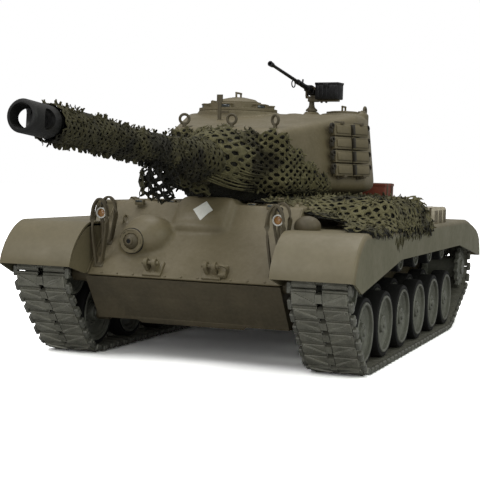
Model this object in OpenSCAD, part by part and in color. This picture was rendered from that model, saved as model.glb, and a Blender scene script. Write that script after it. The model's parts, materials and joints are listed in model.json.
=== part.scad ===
// Radio-controlled medium tank, one sixteenth of the size of the vehicle it follows.
// Millimetres. The tank faces -Y, +X is its left side and +Z is up.
// The origin is on the ground, halfway along the overall length from muzzle to rear fender tip.

/* [Overall] */
// Width over the two fenders
overall_w = 219; // [205:1:270]
// Length of the hull over the fender tips
hull_len = 394; // [385:1:480]
// How far the muzzle reaches ahead of the fenders
gun_overhang = 160; // [130:1:200]
// Distance from the front fender tip back to the turret's axis
ring_back = 170.7; // [165:0.1:185]

/* [Hull] */
// Width of the hull between the tracks
hull_w = 124; // [110:1:126]
// Height of the belly above the ground
belly_z = 25.5; // [22:0.5:30]
// Height of the hull roof above the ground
roof_z = 97; // [94:0.5:99]
// Height of the nose edge, where the upper and lower front plates meet
nose_z = 52.5; // [50:0.5:56]
// Thickness of the hull's plates
hull_wall = 2.5; // [2:0.1:3.5]
// Height of the seam between the lower and the upper hull
seam_z = 66; // [64:0.5:68]

/* [Fenders] */
// Height of the fender tops above the ground
fender_z = 83.2; // [82:0.1:88]
// Thickness of the fender sheet
fender_t = 1.5; // [1:0.1:2]
// Depth of the side skirt below the fender top
skirt_h = 17.6; // [12:0.1:20]
// Height of the curved front and rear mudguards
mudguard_h = 24.7; // [22:0.1:28]

/* [Running gear] */
// Number of road wheels a side
wheel_count = 6; // [6]
// Radius of a road wheel over its tyre
wheel_r = 20.6; // [17:0.1:21.5]
// Radius of the front idler wheel
idler_r = 15.8; // [13:0.1:16.5]
// Height of the idler's axle
idler_z = 53; // [51:0.5:55]
// Radius of the rear sprocket at the tips of its teeth
sprocket_r = 16.2; // [14:0.1:17]
// Height of the sprocket's axle
sprocket_z = 45; // [43:0.5:48]
// Radius of a return roller
roller_r = 8.4; // [7:0.1:9]
// Height of the return rollers' axles
roller_z = 63; // [61:0.5:63]
// Number of teeth round the sprocket
sprocket_teeth = 13; // [9:1:15]

/* [Tracks] */
// Width of a track over its end connectors
track_w = 38; // [32:0.5:39]
// Gap between the hull side and the track
track_gap = 6.7; // [6.5:0.1:9]
// Number of links in a track
link_count = 82; // [78:1:84]
// Thickness of a link's plate
link_t = 2.6; // [2:0.1:3]
// Height of the ribs that grip the ground
grouser_h = 1.9; // [1:0.1:2.5]
// Height of the centre guide teeth
guide_h = 4.6; // [3:0.1:4.8]

/* [Turret] */
// Height of the turret's underside above the ground
turret_z = 103; // [102:0.5:106]
// Half width of the turret at its widest point
turret_half_w = 70; // [60:1:74]
// Radius of the bearing spigot in the hull roof
ring_r = 50; // [44:0.5:51]
// Wall thickness of the cast turret
turret_wall = 3; // [2:0.1:4]

/* [Gun] */
// Radius of the barrel at the muzzle brake
barrel_r = 4.4; // [3:0.1:5]
// Radius of the muzzle brake
brake_r = 7.75; // [6:0.05:8.5]
// Length of the muzzle brake
brake_len = 24; // [18:1:28]
// Elevation of the gun as it stands at rest
rest_elevation = 4.5; // [0:0.5:8]

/* [Hidden] */
$fn = 48;
LEFT = 1;
RIGHT = -1;
olive = "#6f674f";
olive_dark = "#4c4736";
steel = "#5a5a58";
tyre = "#33322f";
gunmetal = "#2b2b2c";
net_green = "#4e5634";
brown = "#7a4632";

// clearances
running = 0.05;
seat = 0.3;
fit_gap = 0.02;
track_play = 0.2;

// places along the hull, measured from the turret's axis
front_y = -ring_back;
rear_y = front_y + hull_len;
overall_len = hull_len + gun_overhang;
ring_y = -overall_len / 2 + gun_overhang + ring_back;
nose_y = front_y + 18.7;
glacis_top_y = front_y + 57.7;
belly_front_y = front_y + 37.7;
tail_y = rear_y - 25;
belly_rear_y = tail_y - 23;
tail_low_z = belly_z + 24.5;
hull_half = hull_w / 2;
fender_half = overall_w / 2;
glacis_slope = (glacis_top_y - nose_y) / (roof_z - nose_z);
function glacis_y(z) = nose_y + (z - nose_z) * glacis_slope;
glacis_angle = atan2(roof_z - nose_z, glacis_top_y - nose_y);
glacis_t = hull_wall + 0.7;

// running gear
track_x = hull_half + track_gap + track_w / 2;
belt_play = track_play + link_t / 2;
wheel_z = link_t + grouser_h + track_play + wheel_r;
idler_y = front_y + 28.7;
sprocket_y = rear_y - 38.8;
wheel_1_y = front_y + 57.9;
wheel_pitch = (sprocket_y - 58.3 - wheel_1_y) / (wheel_count - 1);
roller_count = 5;
roller_1_y = wheel_1_y + wheel_pitch;
roller_pitch = (sprocket_y - 69.5 - roller_1_y) / (roller_count - 1);
wheel_w = 29.8;
idler_w = 27;
roller_w = 27;
hub_r = 5.5;
spindle_r = 2;
idler_spindle_r = 2.5;
roller_spindle_r = 1.5;
shaft_r = 3;

// turret and gun
cupola_at = [-25, 0];
cupola_seat_z = 159.3;
loader_at = [36.5, 54];
loader_seat_z = 161.2;
pintle_at = [17, 38];
pintle_seat_z = 162;
trunnion_y = -80;
trunnion_z = 119.4;
muzzle_reach = ring_back + gun_overhang + trunnion_y;
brake_edge = 0.6;
barrel_len = (muzzle_reach - (brake_r - brake_edge) * sin(rest_elevation)) / cos(rest_elevation);
mantlet_drum_r = 15.5;

// Everything is drawn about the turret's axis and then set in place along the length.
module place() translate([0, ring_y, 0]) children();

// A profile drawn in Y and Z, run across X between two planes.
module across(points, x0, x1) translate([x0, 0, 0]) rotate([90, 0, 90]) linear_extrude(x1 - x0)
  polygon(points);

// A cylinder along X, from x0 to x1.
module axle(y, z, r, x0, x1) translate([x0, y, z]) rotate([0, 90, 0]) cylinder(r = r, h = x1 - x0);

// A box given by its two corners.
module box(a, b) translate(a) cube(b - a);

// ---------------------------------------------------------------- hull

module lower_hull() {
  gl = glacis_t / sin(glacis_angle) + seat;
  outside = [[belly_front_y, belly_z], [nose_y, nose_z - seat], [nose_y + gl, nose_z - seat],
    [glacis_y(seam_z) + gl, seam_z], [tail_y, seam_z], [tail_y, tail_low_z], [belly_rear_y, belly_z]];
  w = hull_wall;
  inside = [[belly_front_y + w, belly_z + w], [nose_y + 2 * w, nose_z - w],
    [nose_y + 2 * w + gl, nose_z - w], [glacis_y(seam_z) + gl + w, seam_z + 1], [tail_y - w, seam_z + 1],
    [tail_y - w, tail_low_z + w], [belly_rear_y - w, belly_z + w]];
  color(olive_dark) place() difference() {
    union() {
      across(outside, -hull_half, hull_half);
      for (s = [LEFT, RIGHT]) {
        axle(sprocket_y, sprocket_z, 10, min(s * (hull_half - 1), s * (hull_half + 8)),
          max(s * (hull_half - 1), s * (hull_half + 8)));
      }
    }
    across(inside, w - hull_half, hull_half - w);
    translate(blister_at) sphere(blister_r + seat);
    for (s = [LEFT, RIGHT]) {
      axle(sprocket_y, sprocket_z, shaft_r + running, min(s * (hull_half - 8), s * (hull_half + 9)),
        max(s * (hull_half - 8), s * (hull_half + 9)));
    }
  }
}

bow_mg_at = [-35.4, -143, 74];
bow_ball_r = 5.1;
bow_ring_r = 7.5;
bow_ring_front = 2.5;
blister_r = 11.6;
blister_at = bow_mg_at + [0, 9, 0];
driver_hatch_x = 43.5;
driver_hatch_y = -101.5;
driver_hatch_r = 10.2;
deck_half_w = 50;
deck_front_y = 92;
deck_rear_y = 180;
deck_lip = 4;
deck_t = 2.2;
deck_rib_h = 1.4;

module upper_hull() {
  gl = glacis_t / sin(glacis_angle);
  w = hull_wall;
  outside = [[nose_y, nose_z], [glacis_top_y, roof_z], [tail_y - 8, roof_z], [tail_y, roof_z - 8],
    [tail_y, seam_z], [glacis_y(seam_z) + gl, seam_z], [nose_y + gl, nose_z]];
  inside = [[glacis_y(seam_z - 1) + gl + 1, seam_z - 1], [glacis_y(roof_z - w) + gl, roof_z - w],
    [tail_y - 8 - w, roof_z - w], [tail_y - w, roof_z - 8 - w], [tail_y - w, seam_z - 1]];
  color(olive) place() difference() {
    union() {
      across(outside, -hull_half, hull_half);
      // rounded ventilator hump between the two drivers' hatches
      hull() for (s = [LEFT, RIGHT]) {
        translate([s * 13, glacis_top_y + 1, roof_z + 0.5]) sphere(4, $fn = 24);
        translate([s * 13, glacis_top_y + 16, roof_z - 1]) sphere(4, $fn = 24);
        translate([s * 11, glacis_top_y - 8, roof_z - 8]) sphere(4, $fn = 24);
      }
      // blister round the bow gun
      translate(blister_at) sphere(blister_r);
      translate(bow_mg_at) rotate([-90, 0, 0]) translate([0, 0, -bow_ring_front]) cylinder(r = bow_ring_r,
        h = 12);
      // lifting hook low on the right of the glacis
      translate([-50, glacis_y(86) - 1.5, 86]) rotate([0, 90, 0]) rotate_extrude()
        translate([2.6, 0]) circle(r = 1, $fn = 24);
    }
    difference() {
      across(inside, w - hull_half, hull_half - w);
      translate(blister_at) sphere(blister_r);
    }
    cylinder_hole([0, 0, roof_z], ring_r + running, 12);
    for (s = [LEFT, RIGHT]) cylinder_hole([s * driver_hatch_x, driver_hatch_y, roof_z],
      driver_hatch_r - 1.5, 10);
    box([deck_lip - deck_half_w, deck_front_y + deck_lip, roof_z - 6],
      [deck_half_w - deck_lip, deck_rear_y - deck_lip, roof_z + 5]);
    translate(bow_mg_at) sphere(bow_ball_r + running);
    translate(bow_mg_at) rotate([90, 0, 0]) cylinder(r = 4.4, h = 10);
    translate(bow_mg_at) rotate([-90, 0, 0]) cylinder(r = 3.6, h = 30);
  }
  color(olive) place() {
    driver_hinges();
    lock_bearings();
  }
}

// A vertical hole of radius r, centred on a point and reaching d above and below it.
module cylinder_hole(at, r, d) translate([at[0], at[1], at[2] - d]) cylinder(r = r, h = 2 * d, $fn = 96);

// ---------------------------------------------------------------- fenders

mudguard_round = 1.55;
mudguard_steps = 7;
// Curve of a mudguard, a quarter of a rounded square of radius r about its centre.
function mudguard_curve(cy, cz, r) = [for (i = [0:mudguard_steps])
  let (a = 90 * i / mudguard_steps)
  [cy - r * pow(cos(a), 2 / mudguard_round), cz + r * pow(sin(a), 2 / mudguard_round)]];
rear_drop = [[64.3, 0], [46.3, 3.2], [27.3, 6.6], [12.3, 10.7], [3.3, 20.2], [0, 30.4]];
function rear_curve(t) = [for (p = rear_drop) [rear_y - p[0] - t * (p[0] < 20 ? 1 : 0.1), fender_z - p[1]
  - t]];
skirt_z = fender_z - skirt_h;

module fender(s) {
  cy = front_y + mudguard_h;
  cz = fender_z - mudguard_h;
  tip_y = front_y + 15.2;
  outer = concat(mudguard_curve(cy, cz, mudguard_h), [for (p = rear_curve(0)) p],
    [[rear_y - 94, skirt_z], [front_y + 107.4, skirt_z], [tip_y, skirt_z - 13.8]]);
  inner = concat([[front_y + fender_t, cz - 8]], mudguard_curve(cy, cz, mudguard_h - fender_t),
    [for (p = rear_curve(fender_t)) p], [[rear_y - fender_t - 1, skirt_z - 20], [tip_y, skirt_z - 20]]);
  liner = concat(mudguard_curve(cy, cz, mudguard_h - fender_t),
    [[glacis_top_y + 12, fender_z - fender_t], [glacis_top_y + 12, seam_z], [glacis_y(seam_z) - 2, seam_z],
    [nose_y + 2, cz]]);
  x0 = hull_half;
  color(olive) place() mirror([s == LEFT ? 0 : 1, 0, 0]) {
    difference() {
      across(outer, x0, fender_half);
      across(inner, x0 - 1, fender_half - fender_t);
    }
    across(liner, x0, x0 + fender_t);
    // two ribs pressed across the mudguard
    for (a = [24, 68]) {
      p = [cy - mudguard_h * pow(cos(a), 2 / mudguard_round), cz + mudguard_h * pow(sin(a),
        2 / mudguard_round)];
      axle(p[0] + 0.6, p[1] - 0.5, 1.3, x0 + 4, fender_half - 4);
    }
  }
}

box_h = 12;
module stowage_boxes() {
  spans = [[front_y + 110, front_y + 203], [rear_y - 120, rear_y - 78]];
  color(olive) place() for (s = [LEFT, RIGHT], span = spans) {
    x = (hull_half + fender_half) / 2;
    w = fender_half - hull_half - 12;
    if (s == RIGHT || span[0] < 0) {
      translate([s * x - w / 2, span[0], fender_z]) {
        cube([w, span[1] - span[0], box_h - 1.5]);
        translate([-0.6, -0.6, box_h - 1.5]) cube([w + 1.2, span[1] - span[0] + 1.2, 1.5]);
      }
    }
  }
}

module fender_left() fender(LEFT);
module fender_right() fender(RIGHT);

// Deck over the engine: a plate with rows of slots, stiffened by raised ribs, lying on the roof's lip.
module engine_deck() {
  w = 2 * deck_half_w;
  l = deck_rear_y - deck_front_y;
  slat_pitch = 5;
  color(olive) place() translate([0, (deck_front_y + deck_rear_y) / 2, roof_z]) difference() {
    union() {
      translate([-w / 2, -l / 2, 0]) cube([w, l, deck_t]);
      for (x = [2 - w / 2, -2, w / 2 - 6]) translate([x, 2 - l / 2, 0]) cube([4, l - 4, deck_t + deck_rib_h]);
    }
    for (side = [LEFT, RIGHT], row = [LEFT, RIGHT], i = [-3:3]) {
      translate([side * w / 4 - 17, row * l / 4 + i * slat_pitch - 1.3, -1]) cube([34, 2.6, deck_t + 2]);
    }
  }
}

// Tail plate fittings: silencer with its pipe, two lamps, a tow pintle and a telephone box.
module rear_fittings() {
  y = tail_y;
  color(olive_dark) place() {
    translate([-30, y + 7.2, 84]) rotate([0, 90, 0]) cylinder(r = 6, h = 60);
    for (x = [-24, 20]) box([x, y, 80], [x + 4, y + 3, 88]);
    difference() {
      translate([0, y + 12, 84]) rotate([-90, 0, 0]) cylinder(r = 3.4, h = 7);
      translate([0, y + 14, 84]) rotate([-90, 0, 0]) cylinder(r = 2.6, h = 9);
    }
    for (s = [LEFT, RIGHT]) translate([s * 50, y, 86]) rotate([-90, 0, 0]) cylinder(r = 2.8, h = 4);
    difference() {
      box([-4, y, 56], [4, y + 9, 62]);
      translate([0, y + 5.5, 50]) cylinder(r = 2, h = 20);
    }
    box([34, y, 68], [44, y + 7, 80]);
  }
}

clevis_x = 19;
// One towing lug: two rounded cheeks on a base, bored for the tow pin.
module clevis() {
  difference() {
    for (x = [-3.8, 1.6]) {
      translate([x, 0, 5.5]) rotate([0, 90, 0]) cylinder(r = 2.6, h = 2.2);
      translate([x, -2.6, 0]) cube([2.2, 5.2, 5.5]);
    }
    translate([-6, 0, 5.5]) rotate([0, 90, 0]) cylinder(r = 1.2, h = 12);
  }
  translate([-5, -4.4, -1]) cube([10, 8.8, 1.02]);
}
module tow_clevises() {
  color(olive) place() {
    for (s = [LEFT, RIGHT]) {
      translate([s * clevis_x, glacis_y(58), 58]) rotate([glacis_angle, 0, 0]) translate([0, 0, 1]) clevis();
      translate([s * 28, tail_y, 58]) rotate([-90, 0, 0]) translate([0, 0, 1]) clevis();
    }
  }
}

lamp_x = 56.6;
lamp_y = -141;
lamp_z = 90;
lamp_r = 3.4;
module headlights() {
  color(olive_dark) place() for (s = [LEFT, RIGHT]) {
    translate([s * lamp_x, lamp_y, lamp_z]) {
      // bucket, rim and glass
      difference() {
        rotate([90, 0, 0]) union() {
          translate([0, 0, -1]) cylinder(r = lamp_r, h = 4.3);
          translate([0, 0, -3.4]) cylinder(r1 = 1.6, r2 = lamp_r, h = 2.42);
          translate([0, 0, 2.2]) cylinder(r = lamp_r + 0.5, h = 1);
        }
        rotate([90, 0, 0]) translate([0, 0, 1.5]) cylinder(r = lamp_r - 0.6, h = 4);
      }
      rotate([90, 0, 0]) translate([0, 0, 1.5]) cylinder(r = lamp_r - 0.6, h = 1.2);
      // stalk down to the glacis, and the small driving lamp on top
      translate([0, 0, -lamp_z]) above_glacis_at(lamp_y) translate([0, 0, lamp_z - 32])
        cylinder(r = 0.9, h = 32 - lamp_r + 0.3);
      translate([0, 1.5, lamp_r - 0.3]) cylinder(r = 0.7, h = 1.6);
      translate([0, 2.2, lamp_r + 2.6]) rotate([90, 0, 0]) cylinder(r = 1.5, h = 2.6);
    }
  }
}

guard_r = 0.55;
// Keeps what stands above the glacis.
module above_glacis() difference() {
  children();
  across([[nose_y - 30, nose_z - 30 / glacis_slope], [glacis_y(roof_z), roof_z], [glacis_y(roof_z),
    nose_z - 40]],
    -hull_half - 1, hull_half + 1);
}
module above_glacis_at(y) translate([0, -y, 0]) above_glacis() translate([0, y, 0]) children();
// Tube bent into an upright hoop over a lamp; both feet stand on the glacis.
module hoop(x0, x1, y, top) {
  r = 3;
  foot = roof_z - (glacis_top_y - y) / glacis_slope - 1;
  for (x = [x0, x1]) translate([x, y, foot]) cylinder(r = guard_r, h = top - r - foot);
  translate([x0 + r, y, top - r]) rotate([90, 0, 0]) bend(r, 90);
  translate([x1 - r, y, top - r]) rotate([90, 0, 0]) bend(r, 0);
  translate([x0 + r, y, top]) rotate([0, 90, 0]) cylinder(r = guard_r, h = x1 - x0 - 2 * r);
}
module bend(r, start) rotate([0, 0, start]) rotate_extrude(angle = 90, $fn = 48) translate([r, 0])
  circle(r = guard_r, $fn = 24);
module headlight_guards() {
  color(olive) place() for (s = [LEFT, RIGHT]) mirror([s == LEFT ? 0 : 1, 0, 0]) {
    above_glacis() hoop(lamp_x - 5.6, lamp_x + 4.6, lamp_y - 5.5, lamp_z + 9);
    above_glacis() hoop(lamp_x - 5.6, lamp_x + 4.6, lamp_y + 6, lamp_z + 10);
  }
}

// ---------------------------------------------------------------- tracks

// Circles that the track is stretched round, in order: first wheel, last wheel, sprocket, rollers, idler.
last_wheel_y = wheel_1_y + (wheel_count - 1) * wheel_pitch;
last_roller_y = roller_1_y + (roller_count - 1) * roller_pitch;
belt = [
  [wheel_1_y, wheel_z, wheel_r + belt_play],
  [last_wheel_y, wheel_z, wheel_r + belt_play],
  [sprocket_y, sprocket_z, sprocket_r + belt_play],
  [last_roller_y, roller_z, roller_r + belt_play],
  [roller_1_y, roller_z, roller_r + belt_play],
  [idler_y, idler_z, idler_r + belt_play]];
turns = len(belt);
function next(i) = belt[(i + 1) % turns];
function reach(i) = norm([next(i)[0] - belt[i][0], next(i)[1] - belt[i][1]]);
// Direction of the outward normal on the straight run that follows circle i.
function run_normal(i) = atan2(next(i)[1] - belt[i][1], next(i)[0] - belt[i][0])
  - acos((belt[i][2] - next(i)[2]) / reach(i));
function run_len(i) = sqrt(pow(reach(i), 2) - pow(belt[i][2] - next(i)[2], 2));
function wrap(a) = a < 0 ? wrap(a + 360) : a >= 360 ? a - 360 : a;
function arc_angle(i) = wrap(run_normal(i) - run_normal((i + turns - 1) % turns));
function arc_len(i) = belt[i][2] * arc_angle(i) * PI / 180;
function total(v, i = 0) = i == len(v) ? 0 : v[i] + total(v, i + 1);
belt_len = total([for (i = [0:turns - 1]) arc_len(i) + run_len(i)]);
link_pitch = belt_len / link_count;
// Position [y, z, direction of travel] at a distance along the belt.
function along(s, i = 0) = s < arc_len(i)
  ? let (n = run_normal((i + turns - 1) % turns) + s / belt[i][2] * 180 / PI)
    [belt[i][0] + belt[i][2] * cos(n), belt[i][1] + belt[i][2] * sin(n), n + 90]
  : s < arc_len(i) + run_len(i)
    ? let (n = run_normal(i), d = s - arc_len(i))
      [belt[i][0] + belt[i][2] * cos(n) - d * sin(n), belt[i][1] + belt[i][2] * sin(n) + d * cos(n), n + 90]
    : along(s - arc_len(i) - run_len(i), i + 1);

link_gap = 0.8;
guide_w = 4;
// One track shoe: plate, chevron rib outside, guide tooth inside and a connector at each end.
module track_link() {
  l = link_pitch - link_gap;
  half = track_w / 2;
  end_w = 2;
  box([end_w - half, -l / 2, -link_t / 2], [half - end_w, l / 2, link_t / 2]);
  for (s = [LEFT, RIGHT]) {
    box([s > 0 ? half - end_w - 0.01 : -half, -l / 2 + 0.8, -link_t / 2 - 0.7],
      [s > 0 ? half : end_w - half + 0.01, l / 2 - 0.8, link_t / 2]);
  }
  // the chevron meets at the middle and stands on the outer face
  translate([0, 0, -link_t / 2 - grouser_h]) linear_extrude(grouser_h + 0.01)
    polygon([[0, -l / 2 + 0.2], [half - end_w - 1, l / 2 - 3.2], [half - end_w - 1, l / 2 - 0.9],
      [0, -l / 2 + 2.8], [end_w + 1 - half, l / 2 - 0.9], [end_w + 1 - half, l / 2 - 3.2]]);
  across([[-1.6, link_t / 2 - 0.01], [1.6, link_t / 2 - 0.01], [0.8, link_t / 2 + guide_h],
    [-0.8, link_t / 2 + guide_h]], -guide_w / 2, guide_w / 2);
}
module track(s) {
  color(steel) place() for (i = [0:link_count - 1]) {
    p = along(i * link_pitch);
    translate([s * track_x, p[0], p[1]]) rotate([p[2], 0, 0]) track_link();
  }
}
module track_left() track(LEFT);
module track_right() track(RIGHT);

// ---------------------------------------------------------------- wheels

// A double wheel turned on its axle: tyres, dished disc and hub, with the groove for the guide teeth.
module double_wheel(w, r, rim, hub, bore, groove) {
  rotate([0, 90, 0]) {
    // the disc with its hub and the two rims that carry the tyres
    rotate_extrude($fn = 96) polygon([[bore, -w / 2 + 3], [bore, w / 2 - 1], [hub, w / 2 - 1], [hub,
      w / 2 - 4.5],
      [rim - 2.4, w / 2 - 2.2], [rim - 2.4, w / 2], [rim, w / 2], [rim, 3.6], [groove, 3.6], [groove, -3.6],
      [rim, -3.6], [rim, -w / 2], [rim - 2.4, -w / 2], [rim - 2.4, -w / 2 + 2.2], [hub, -w / 2 + 4.5],
      [hub, -w / 2 + 3]]);
    // tyres, each a ring of its own stretched on its rim
    in = rim + fit_gap;
    for (s = [0, 1]) mirror([0, 0, s]) rotate_extrude($fn = 96)
      polygon([[in, 3.6], [r - 0.8, 3.6], [r, 4.4], [r, w / 2 - 1.2], [r - 0.8, w / 2 - 0.4], [in,
        w / 2 - 0.4]]);
  }
}
module road_wheel(s, i) {
  color(olive_dark) place() translate([s * track_x, wheel_1_y + (i - 1) * wheel_pitch, wheel_z])
    mirror([s == LEFT ? 0 : 1, 0, 0])
    double_wheel(wheel_w, wheel_r, wheel_r - 4, hub_r, spindle_r + running, wheel_r - 8);
}
module return_roller(s, i) {
  color(olive_dark) place() translate([s * track_x, roller_1_y + (i - 1) * roller_pitch, roller_z])
    mirror([s == LEFT ? 0 : 1, 0, 0]) rotate([0, 90, 0]) rotate_extrude()
    polygon([[roller_spindle_r + running, -roller_w / 2], [roller_spindle_r + running, roller_w / 2 - 1],
      [roller_r - 1.5, roller_w / 2 - 1], [roller_r, roller_w / 2 - 2], [roller_r, 3.4], [2.8, 3.4],
      [2.8, -3.4], [roller_r, -3.4], [roller_r, -roller_w / 2 + 1], [roller_r - 1.5, -roller_w / 2]]);
}
module idler(s) {
  color(olive_dark) place() translate([s * track_x, idler_y, idler_z]) mirror([s == LEFT ? 0 : 1, 0, 0])
    double_wheel(idler_w, idler_r, idler_r - 2, 4.5, idler_spindle_r + running, 8.5);
}
// Two toothed rings on a drum, with the shaft that runs into the gearbox.
module sprocket(s) {
  tooth_h = 3;
  root = sprocket_r - tooth_h;
  ring_at = 13;
  color(olive_dark) place() translate([s * track_x, sprocket_y, sprocket_z]) mirror([s == LEFT ? 0 : 1, 0, 0])
    rotate([0, 90, 0]) {
      for (k = [-1, 1]) translate([0, 0, k * ring_at - 1.5]) linear_extrude(3) polygon([
        for (t = [0:sprocket_teeth - 1], c = [[root, -2.1], [sprocket_r, -1.1], [sprocket_r, 1.1], [root,
          2.1]])
          let (a = t * 360 / sprocket_teeth + c[1] / c[0] * 180 / PI) c[0] * [cos(a), sin(a)]]);
      cylinder(r = 8, h = 2 * ring_at - 3, center = true);
      translate([0, 0, ring_at + 1.5]) cylinder(r = 6, h = 1.6);
      translate([0, 0, hull_half - track_x - 10]) cylinder(r = shaft_r,
        h = track_x - hull_half + 10 - ring_at - 1.5);
    }
}
module road_wheel_left_1() road_wheel(LEFT, 1);
module road_wheel_left_2() road_wheel(LEFT, 2);
module road_wheel_left_3() road_wheel(LEFT, 3);
module road_wheel_left_4() road_wheel(LEFT, 4);
module road_wheel_left_5() road_wheel(LEFT, 5);
module road_wheel_left_6() road_wheel(LEFT, 6);
module road_wheel_right_1() road_wheel(RIGHT, 1);
module road_wheel_right_2() road_wheel(RIGHT, 2);
module road_wheel_right_3() road_wheel(RIGHT, 3);
module road_wheel_right_4() road_wheel(RIGHT, 4);
module road_wheel_right_5() road_wheel(RIGHT, 5);
module road_wheel_right_6() road_wheel(RIGHT, 6);
module roller_left_1() return_roller(LEFT, 1);
module roller_left_2() return_roller(LEFT, 2);
module roller_left_3() return_roller(LEFT, 3);
module roller_left_4() return_roller(LEFT, 4);
module roller_left_5() return_roller(LEFT, 5);
module roller_right_1() return_roller(RIGHT, 1);
module roller_right_2() return_roller(RIGHT, 2);
module roller_right_3() return_roller(RIGHT, 3);
module roller_right_4() return_roller(RIGHT, 4);
module roller_right_5() return_roller(RIGHT, 5);
module idler_left() idler(LEFT);
module idler_right() idler(RIGHT);
module sprocket_left() sprocket(LEFT);
module sprocket_right() sprocket(RIGHT);

// ---------------------------------------------------------------- running gear carriers

// Trailing arms with their spindles, and the fixed spindles of the rollers and idlers.
module suspension_arms() {
  arm_back = 17;
  arm_up = 7;
  arm_x0 = hull_half;
  arm_x1 = track_x - wheel_w / 2 - seat;
  color(olive_dark) place() for (s = [LEFT, RIGHT]) mirror([s == LEFT ? 0 : 1, 0, 0]) {
    for (i = [0:wheel_count - 1]) {
      y = wheel_1_y + i * wheel_pitch;
      axle(y + arm_back, wheel_z + arm_up, 5, arm_x0, arm_x1);
      translate([arm_x0 + 2.5, y, wheel_z]) rotate([atan2(arm_up, arm_back), 0, 0])
        translate([0, 0, -2.2]) cube([arm_x1 - arm_x0 - 2.5, norm([arm_back, arm_up]), 4.4]);
      axle(y, wheel_z, 4, arm_x0 + 2.5, arm_x1);
      axle(y, wheel_z, spindle_r, arm_x1 - 1, track_x + wheel_w / 2 - 0.5);
    }
    for (i = [0:roller_count - 1]) {
      y = roller_1_y + i * roller_pitch;
      axle(y, roller_z, 3.2, arm_x0, track_x - roller_w / 2 - seat);
      axle(y, roller_z, roller_spindle_r, arm_x0 + 1, track_x + roller_w / 2 - 0.5);
    }
    axle(idler_y, idler_z, 5, arm_x0, track_x - idler_w / 2 - seat);
    axle(idler_y, idler_z, idler_spindle_r, arm_x0 + 1, track_x + idler_w / 2 - 0.5);
  }
}

// Geared motors inside the tail, one for each sprocket, on feet on the hull floor.
module gearboxes() {
  x1 = hull_half - hull_wall - seat;
  floor_z = belly_z + hull_wall;
  slope_y = belly_rear_y - hull_wall - 0.5;
  color("#8a8a86") place() for (s = [LEFT, RIGHT]) mirror([s == LEFT ? 0 : 1, 0, 0]) {
    difference() {
      union() {
        across([[sprocket_y - 26, floor_z], [slope_y, floor_z], [sprocket_y + 8,
          floor_z + (sprocket_y + 8 - slope_y)
          * (tail_low_z - belly_z) / (tail_y - belly_rear_y)], [sprocket_y + 8, 62], [sprocket_y - 26, 62]],
          x1 - 14, x1);
        axle(sprocket_y - 17, 44, 8.5, x1 - 44, x1 - 13.9);
      }
      axle(sprocket_y, sprocket_z, shaft_r + running, x1 - 20, x1 + 1);
    }
  }
}

// Battery pack, control board on four posts and loudspeaker, all on the hull floor.
module battery_and_board() {
  floor_z = belly_z + hull_wall;
  color("#3d5a46") place() {
    box([-22, -70, floor_z], [22, 20, floor_z + 23]);
    for (x = [-30, 30], y = [42, 92]) translate([x, y, floor_z]) cylinder(r = 2.5, h = 8);
    box([-34, 38, floor_z + 8], [34, 96, floor_z + 9.6]);
    box([-10, 60, floor_z + 9.6], [14, 78, floor_z + 14]);
    translate([0, -100, floor_z]) cylinder(r1 = 12, r2 = 19, h = 12);
  }
}

// Strapped box on the rear deck and three cans on the left fender.
module deck_cargo() {
  color(brown) place() {
    box([34, 122, roof_z + deck_t + deck_rib_h], [52, 150, roof_z + deck_t + 12]);
    for (i = [0:2]) box([93, 48 + i * 15, fender_z], [107, 60 + i * 15, fender_z + 12.4]);
  }
}

net_t = 2;
net_edge_y = 30;
// Camouflage net over the left of the hull, sloping from the roof to the edge of the fender.
module fender_net() {
  over = fender_z + box_h + 0.6;
  color(net_green) place() rotate([90, 0, 0]) translate([0, 0, -net_edge_y])
    linear_extrude(net_edge_y - front_y - 70)
    polygon([[hull_half + 0.4, roof_z + 1], [hull_half + 0.4, roof_z + 3.4], [fender_half - 4,
      over + net_t + 0.5],
      [fender_half - 0.2, fender_z + 4], [fender_half - 0.2, fender_z + seat], [fender_half - 2.2,
        fender_z + seat],
      [fender_half - 5, over]]);
}

// Screw heads round the hull: along the fender tops and on the hull sides.
module screws() {
  n = 6;
  color(steel) place() for (s = [LEFT, RIGHT], i = [0:n - 1]) {
    translate([s * (hull_half + 4), front_y + 32 + i * 4.5, fender_z]) cylinder(r = 0.9, h = 0.6);
    translate([s * (hull_half - 6 - i * 8), tail_y, seam_z - 2]) rotate([-90, 0, 0]) cylinder(r = 1, h = 0.7);
  }
}

// ---------------------------------------------------------------- turret

cast_r = 6;
// Height of the turret roof at a distance y behind the turret's axis.
function roof_at(y) = turret_z + lookup(y, [[-82, 42], [-35, 50], [-2, 55], [17, 55.5], [58, 57], [96, 55]]);
turret_low = [[35, -84], [turret_half_w - 6, -2], [turret_half_w - 6, 17], [turret_half_w - 18, 58],
  [turret_half_w - 27, 98]];
turret_high = [[33, -82], [turret_half_w - 12, -2], [turret_half_w - 12, 17], [turret_half_w - 23, 57],
  [turret_half_w - 31, 96]];
low_z = turret_z + 9;
// Outward normal of the turret's left side, ahead of its widest point
side_run = [turret_low[1][0] - turret_low[0][0], turret_low[1][1] - turret_low[0][1], 0];
side_rise = [turret_high[0][0] - turret_low[0][0], turret_high[0][1] - turret_low[0][1],
  roof_at(turret_high[0][1]) - cast_r - low_z];
side_normal = cross(side_run, side_rise) / norm(cross(side_run, side_rise));
// A frame on that side: X outward, Y back along the side from its front corner, Z up.
module on_side() place() translate([turret_low[0][0], turret_low[0][1], low_z])
  rotate([0, 0, atan2(side_normal[1], side_normal[0])]) rotate([0, -asin(side_normal[2]), 0]) children();
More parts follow.
